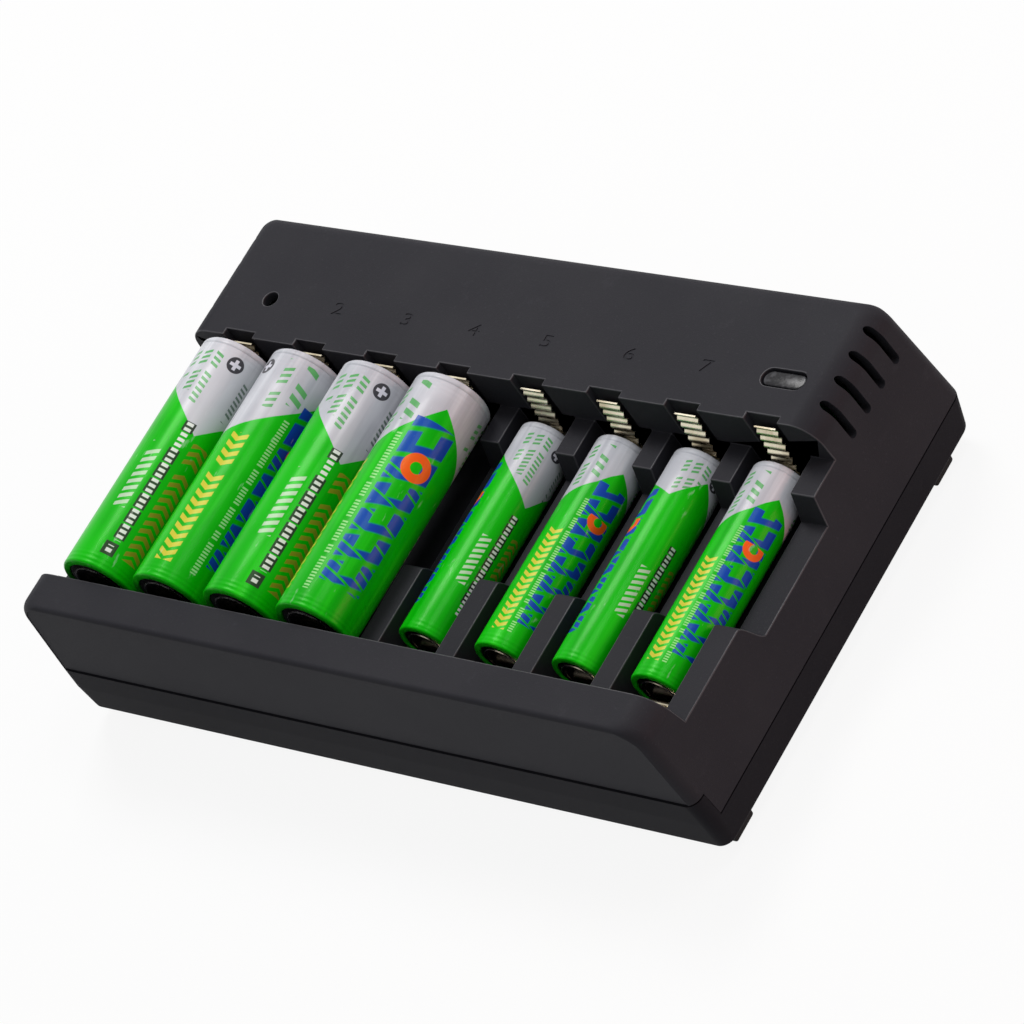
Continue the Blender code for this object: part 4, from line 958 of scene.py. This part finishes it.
def positive_strips():
    tail = [(STRIP_FOOT, BOARD_TOP + GAP), (STRIP_FOOT, STRIP_START - GAP)]
    steps = CRESTS * 10
    wave = []
    for i in range(steps + 1):
        share = i / steps
        side = -CREST_DEPTH / 2 * math.cos(2 * math.pi * share * CRESTS)
        wave.append((mix_size(STRIP_FOOT, STRIP_HEAD, share) + side, mix_size(STRIP_START, STRIP_END, share)))
    for bay, item in contacts("contact_plus", tail + wave):
        dress(item, f"positive_strip_{bay}")


def negative_leaves():
    fold = LEAF_TOP - LEAF_FOLD
    path = [
        (LEAF_TAIL, BOARD_TOP + GAP), (LEAF_TAIL, LEAF_HINGE), (LEAF_FACE, fold),
        (LEAF_FACE - LEAF_FOLD / 2, LEAF_TOP), (LEAF_FACE - 1.5 * LEAF_FOLD, LEAF_TOP),
        (LEAF_FACE - 2 * LEAF_FOLD, fold), (LEAF_TAIL - 3 * LEAF_FOLD, LEAF_RUN + LEAF_FOLD),
        (LEAF_TAIL - 4 * LEAF_FOLD, LEAF_RUN), (PLATE_FACE + LEAF_FOLD, LEAF_RUN),
        (PLATE_FACE, LEAF_RUN + LEAF_FOLD), (PLATE_FACE, PLATE_TOP), (PLATE_FACE - PLATE_CURL, PLATE_TOP + PLATE_CURL),
    ]
    for bay, item in contacts("contact_minus", rounded_path(path, LEAF_BEND)):
        dress(item, f"negative_contact_{bay}", f"leaf_{bay}")


# ------------------------------------------------------------- cells
def sleeve_piece(name, cell, place, turn, look):
    """Film with rolled ends. Its UV map runs round the cell and along it."""
    radius, length, soft = cell["radius"], cell["length"], SLEEVE_SOFT
    outer = [(cell["open_minus"], SLEEVE), (cell["open_minus"], CLEAR), (cell["open_minus"] + CLEAR, 0.0)]
    outer += arc((radius - soft, soft), soft, -90, 0, 6)
    outer += [(radius, length * share) for share in (0.2, 0.4, 0.6, 0.8)]
    outer += [(radius, length - 3.2 * soft), (radius - 0.10 * MM, length - 2.9 * soft), (radius, length - 2.5 * soft)]
    outer += arc((radius - 2 * soft, length - 2 * soft), 2 * soft, 0, 72, 6)
    outer += [(cell["open_plus"] + 0.1 * MM, length), (cell["open_plus"], length - CLEAR)]
    inner = [(cell["open_plus"], length - SLEEVE), (radius - SLEEVE, length - 2 * soft - SLEEVE),
             (radius - SLEEVE, soft), (radius - soft - SLEEVE / 2, SLEEVE)]
    profile = outer + inner
    sides = 72
    bm = bmesh.new()
    turned_into(bm, profile, sides, place, looped=True)
    uv = bm.loops.layers.uv.new("UVMap")
    for number, face in enumerate(bm.faces):
        ring, i = divmod(number, sides)
        start, end = profile[ring][1], profile[(ring + 1) % len(profile)][1]
        for loop, (step, along) in zip(face.loops, ((i, start), (i, end), (i + 1, end), (i + 1, start))):
            loop[uv].uv = (turn - step / sides + 2.0, along / length)
    item = to_object(name, bm, look)
    shade(item, 50)
    return item


def can_piece(name, cell, place):
    """Steel can: dished negative disc with a painted dark reflection and a bright ring, shoulder, neck and positive
    button.
    """
    body = cell["radius"] - SLEEVE - GAP
    disc = cell["open_minus"] - 0.15 * MM
    length = cell["length"]
    shoulder = length - SLEEVE - GAP
    neck = cell["open_plus"] - 0.15 * MM
    top = length + cell["rise"]
    button = cell["button"]
    profile = [(0, 0.10 * MM), (disc * 0.62, 0.10 * MM), (disc * 0.66, 0.0), (disc * 0.80, 0.0), (disc * 0.84, STEP),
               (disc * 0.92, STEP), (disc, 0.25 * MM), (disc, SLEEVE + GAP), (body, SLEEVE + 2 * GAP),
               (body, shoulder - 2 * SLEEVE_SOFT), (neck, shoulder), (neck - 0.2 * MM, shoulder + STEP),
               (neck - 0.7 * MM, shoulder + STEP), (neck - 0.9 * MM, shoulder - 0.1 * MM),
               (button + RIM, shoulder - 0.1 * MM), (button + 0.1 * MM, shoulder)]
    profile += arc((button - RIM, top - RIM), RIM, 0, 90, 5) + [(0, top)]
    bm = bmesh.new()
    turned_into(bm, profile, 64, place, looped=False)
    item = to_object(name, bm, STEEL)
    item.data.materials.append(DISC_PAINTED_DARK)
    middle = Vector(place(0, 0, 0))
    # Painted reflection: the negative end takes the dark copy of the steel, all but its raised ring, which keeps the
    # bright steel.
    for face in item.data.polygons:
        ring = math.hypot(face.center.x - middle.x, face.center.z - middle.z) / disc
        if face.center.y < middle.y + MM and not 0.79 < ring < 0.86:
            face.material_index = 1
    shade(item, 30)
    return item


# How far each wrap is turned about its cell, so that the panels face as in the bays
TURNS = {1: 0.476, 2: 0.981, 3: 0.456, 4: 0.121, 5: 0.396, 6: 0.081, 7: 0.371, 8: 0.097}


def cells():
    for bay in range(1, BAYS + 1):
        small = bay > AA_BAYS
        cell = AAA_CELL if small else AA_CELL
        label = f"aaa_cell_{bay}" if small else f"aa_cell_{bay}"
        start = AAA_START if small else AA_START
        height = cell["axis"]
        x = bay_x(bay)

        def place(u, v, along):
            return x + u, from_front(start + along), height + v

        look = WRAP_TURNED if bay == 7 else WRAP_AAA if small else WRAP_AA
        sleeve = sleeve_piece(f"wrap_{bay}", cell, place, TURNS[bay], look)
        dress(sleeve, f"{label}_sleeve")
        can = can_piece(f"can_{bay}", cell, place)
        dress(can, f"{label}_can")


# ------------------------------------------------------------- small pieces
def deck_lens():
    top = CASE_TOP - WINDOW_SETBACK
    item = to_object("deck_lens", window_block(WINDOW_LENGTH, WINDOW_WIDTH, top - WINDOW_THICK, top), WINDOW)
    soften(item, LENS_SOFT, 3)
    dress(item, "deck_window")


def feet():
    for name, x, y in foot_centres():
        bm = bmesh.new()
        top = FOOT_DROP + FOOT_RECESS - GAP
        box_into(bm, (x - FOOT_WIDTH / 2, y - FOOT_LENGTH / 2, 0.0), (x + FOOT_WIDTH / 2, y + FOOT_LENGTH / 2, top))
        lower = [v for v in bm.verts if v.co.z < top / 2]
        bmesh.ops.scale(bm, verts=lower, vec=(1 - FOOT_TAPER / FOOT_WIDTH, 1 - FOOT_TAPER / FOOT_LENGTH, 1.0),
                        space=Matrix.Translation((-x, -y, 0.0)))
        edges = [e for e in bm.edges if all(v.co.z < top / 2 for v in e.verts)]
        bmesh.ops.bevel(bm, geom=edges, offset=FOOT_BEVEL, segments=1, affect="EDGES")
        item = to_object(f"pad_{name[5:]}", bm, RUBBER)
        soften(item, FOOT_SOFT, 3, 25)
        dress(item, name)


def screws():
    head = HEAD_SEAT - GAP - HEAD_HEIGHT
    soft = HEAD_HEIGHT / 3
    profile = [(0, head), (HEAD_RADIUS - soft, head), (HEAD_RADIUS - soft / 3, head + soft / 3),
               (HEAD_RADIUS, head + soft), (HEAD_RADIUS, head + HEAD_HEIGHT), (SCREW_RADIUS, head + HEAD_HEIGHT),
               (SCREW_RADIUS, SCREW_TOP - SCREW_RADIUS), (0, SCREW_TOP)]
    for number, (x, y) in enumerate(boss_centres(), start=1):
        bm = bmesh.new()
        turned_into(bm, profile, 40, lambda u, v, along: (x + u, y + v, along), looped=False)
        item = to_object(f"screw_{number}", bm, ZINC)
        for a, b in ((CROSS_LENGTH, CROSS_WIDTH), (CROSS_WIDTH, CROSS_LENGTH)):
            slot = bmesh.new()
            box_into(slot, (x - a, y - b, head - 0.5 * MM), (x + a, y + b, head + CROSS_DEPTH))
            cut(item, slot)
        shade(item, 30)
        dress(item, f"case_screw_{number}")


def inlet():
    body = rounded_box_points(INLET_WIDTH, INLET_HEIGHT, INLET_ROUND)
    item = to_object("inlet_body", inlet_block(body, INLET_FRONT, INLET_REAR), INLET)
    flange = rounded_box_points(INLET_WIDTH + 2 * INLET_FLANGE, INLET_HEIGHT + 2 * INLET_FLANGE, INLET_ROUND)
    join(item, inlet_block(flange, INLET_FLANGE_START, INLET_FLANGE_END - GAP))
    cut(item, inlet_block(stadium(SOCKET_WIDTH, SOCKET_HEIGHT), INLET_REAR - SOCKET_DEPTH, INLET_REAR + WALL))
    waist = bmesh.new()
    length = PIN_END - PIN_START
    for name, side in (("left", -1), ("right", 1)):
        x = INLET_X + side * PIN_SPACING / 2

        def place(u, v, along):
            return x + u, from_front(PIN_START) + along, INLET_Z + v

        bore = [(0, -WALL), (PIN_RADIUS + GAP, -WALL), (PIN_RADIUS + GAP, length), (0, length)]
        turned_into(waist, bore, 32, place, looped=False)
        pin = bmesh.new()
        solid = [(0, 0.0), (PIN_RADIUS, 0.0)] + arc((0, length - PIN_RADIUS), PIN_RADIUS, 0, 90, 8)[:-1] + [(0, length)]
        turned_into(pin, solid, 32, place, looped=False)
        piece = to_object(f"supply_pin_{name}", pin, PIN)
        shade(piece)
        dress(piece, f"inlet_pin_{name}")
    bmesh.ops.recalc_face_normals(waist, faces=waist.faces)
    cut(item, waist)
    soften(item, INLET_SOFT)
    dress(item, "inlet_socket")


def carried_over():
    """Materials for the solids inside, which show as they are."""
    looks = {"main_board": BOARD, "lamp_board": BOARD, "supply_transformer": TAPE, "supply_capacitor": SHRINK,
             "heat_sink": SINK}
    looks.update({f"lamp_{bay}": LAMP for bay in range(1, BAYS + 1)})
    for name, look in looks.items():
        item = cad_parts[name]
        for slot in item.material_slots:
            slot.material = look


# ------------------------------------------------------------- stage, light and camera
def area(name, place, target, size, energy, colour):
    light = bpy.data.lights.new(name, "AREA")
    light.energy = energy
    light.color = colour
    light.size = size
    item = bpy.data.objects.new(name, light)
    item.location = place
    item.rotation_euler = (Vector(target) - Vector(place)).to_track_quat("-Z", "Y").to_euler()
    bpy.context.scene.collection.objects.link(item)


def seen(tree):
    """1 where the camera sees a surface straight, mirrored or through glass, and 0 where it lights other things."""
    path = tree.nodes.new("ShaderNodeLightPath")
    total = path.outputs["Is Camera Ray"]
    for kind in ("Is Glossy Ray", "Is Transmission Ray"):
        either = tree.nodes.new("ShaderNodeMath")
        either.operation = "MAXIMUM"
        tree.links.new(total, either.inputs[0])
        tree.links.new(path.outputs[kind], either.inputs[1])
        total = either.outputs[0]
    return total


def spread(tree, value, first, last):
    node = tree.nodes.new("ShaderNodeMapRange")
    node.inputs["To Min"].default_value = first
    node.inputs["To Max"].default_value = last
    tree.links.new(value, node.inputs["Value"])
    return node.outputs["Result"]


def stage():
    """A pale floor that is seen mostly as plain white and keeps a light shadow, under soft studio light."""
    bm = bmesh.new()
    bmesh.ops.create_grid(bm, x_segments=1, y_segments=1, size=3.0)
    look = Nodes("floor_pale", 0.9, colour=(0.70, 0.70, 0.70))
    look.colour(look.mix(look.noise(30.0, 2.0), (0.68, 0.68, 0.68), (0.72, 0.72, 0.72)))
    glow = look.tree.nodes.new("ShaderNodeEmission")
    mixed = look.tree.nodes.new("ShaderNodeMixShader")
    look.put(mixed.inputs[0], spread(look.tree, seen(look.tree), 0.0, 0.90))
    look.put(mixed.inputs[1], look.shader.outputs[0])
    look.put(mixed.inputs[2], glow.outputs[0])
    look.put(look.tree.nodes["Material Output"].inputs["Surface"], mixed.outputs[0])
    to_object("floor", bm, look.material)
    world = bpy.data.worlds.new("studio")
    bpy.context.scene.world = world
    world.use_nodes = True
    background = world.node_tree.nodes["Background"]
    background.inputs["Color"].default_value = (1.0, 1.0, 1.0, 1.0)
    strength = spread(world.node_tree, seen(world.node_tree), 0.38, 1.0)
    world.node_tree.links.new(strength, background.inputs["Strength"])
    area("key", (-0.30, 0.42, 0.85), (0, 0, 0.02), 0.35, 7.0, (1.0, 0.99, 0.98))
    area("over_right", (0.30, 0.30, 0.90), (0.03, 0, 0.02), 0.30, 2.0, (0.98, 0.99, 1.0))
    area("warm_side", (0.80, 0.25, 0.16), (0.07, 0.02, 0.02), 0.25, 1.6, (1.0, 0.33, 0.24))


def camera():
    data = bpy.data.cameras.new("camera")
    item = bpy.data.objects.new("camera", data)
    bpy.context.scene.collection.objects.link(item)
    # The camera's own axes and its place, solved from the cells and the case
    right = (0.751919, 0.47413, -0.458061)
    up = (-0.13691, 0.791971, 0.595012)
    back = (0.644884, -0.384687, 0.66041)
    place = (0.61678, -0.362935, 0.643154)
    item.matrix_world = Matrix([(right[i], up[i], back[i], place[i]) for i in range(3)] + [(0, 0, 0, 1)])
    data.sensor_width = 36.0
    data.lens = 199.137
    data.clip_start = 0.01
    data.clip_end = 20.0
    bpy.context.scene.camera = item


bpy.context.scene.view_settings.view_transform = "Standard"
upper_shell()
lower_shell()
positive_strips()
negative_leaves()
cells()
deck_lens()
feet()
screws()
inlet()
carried_over()
stage()
camera()
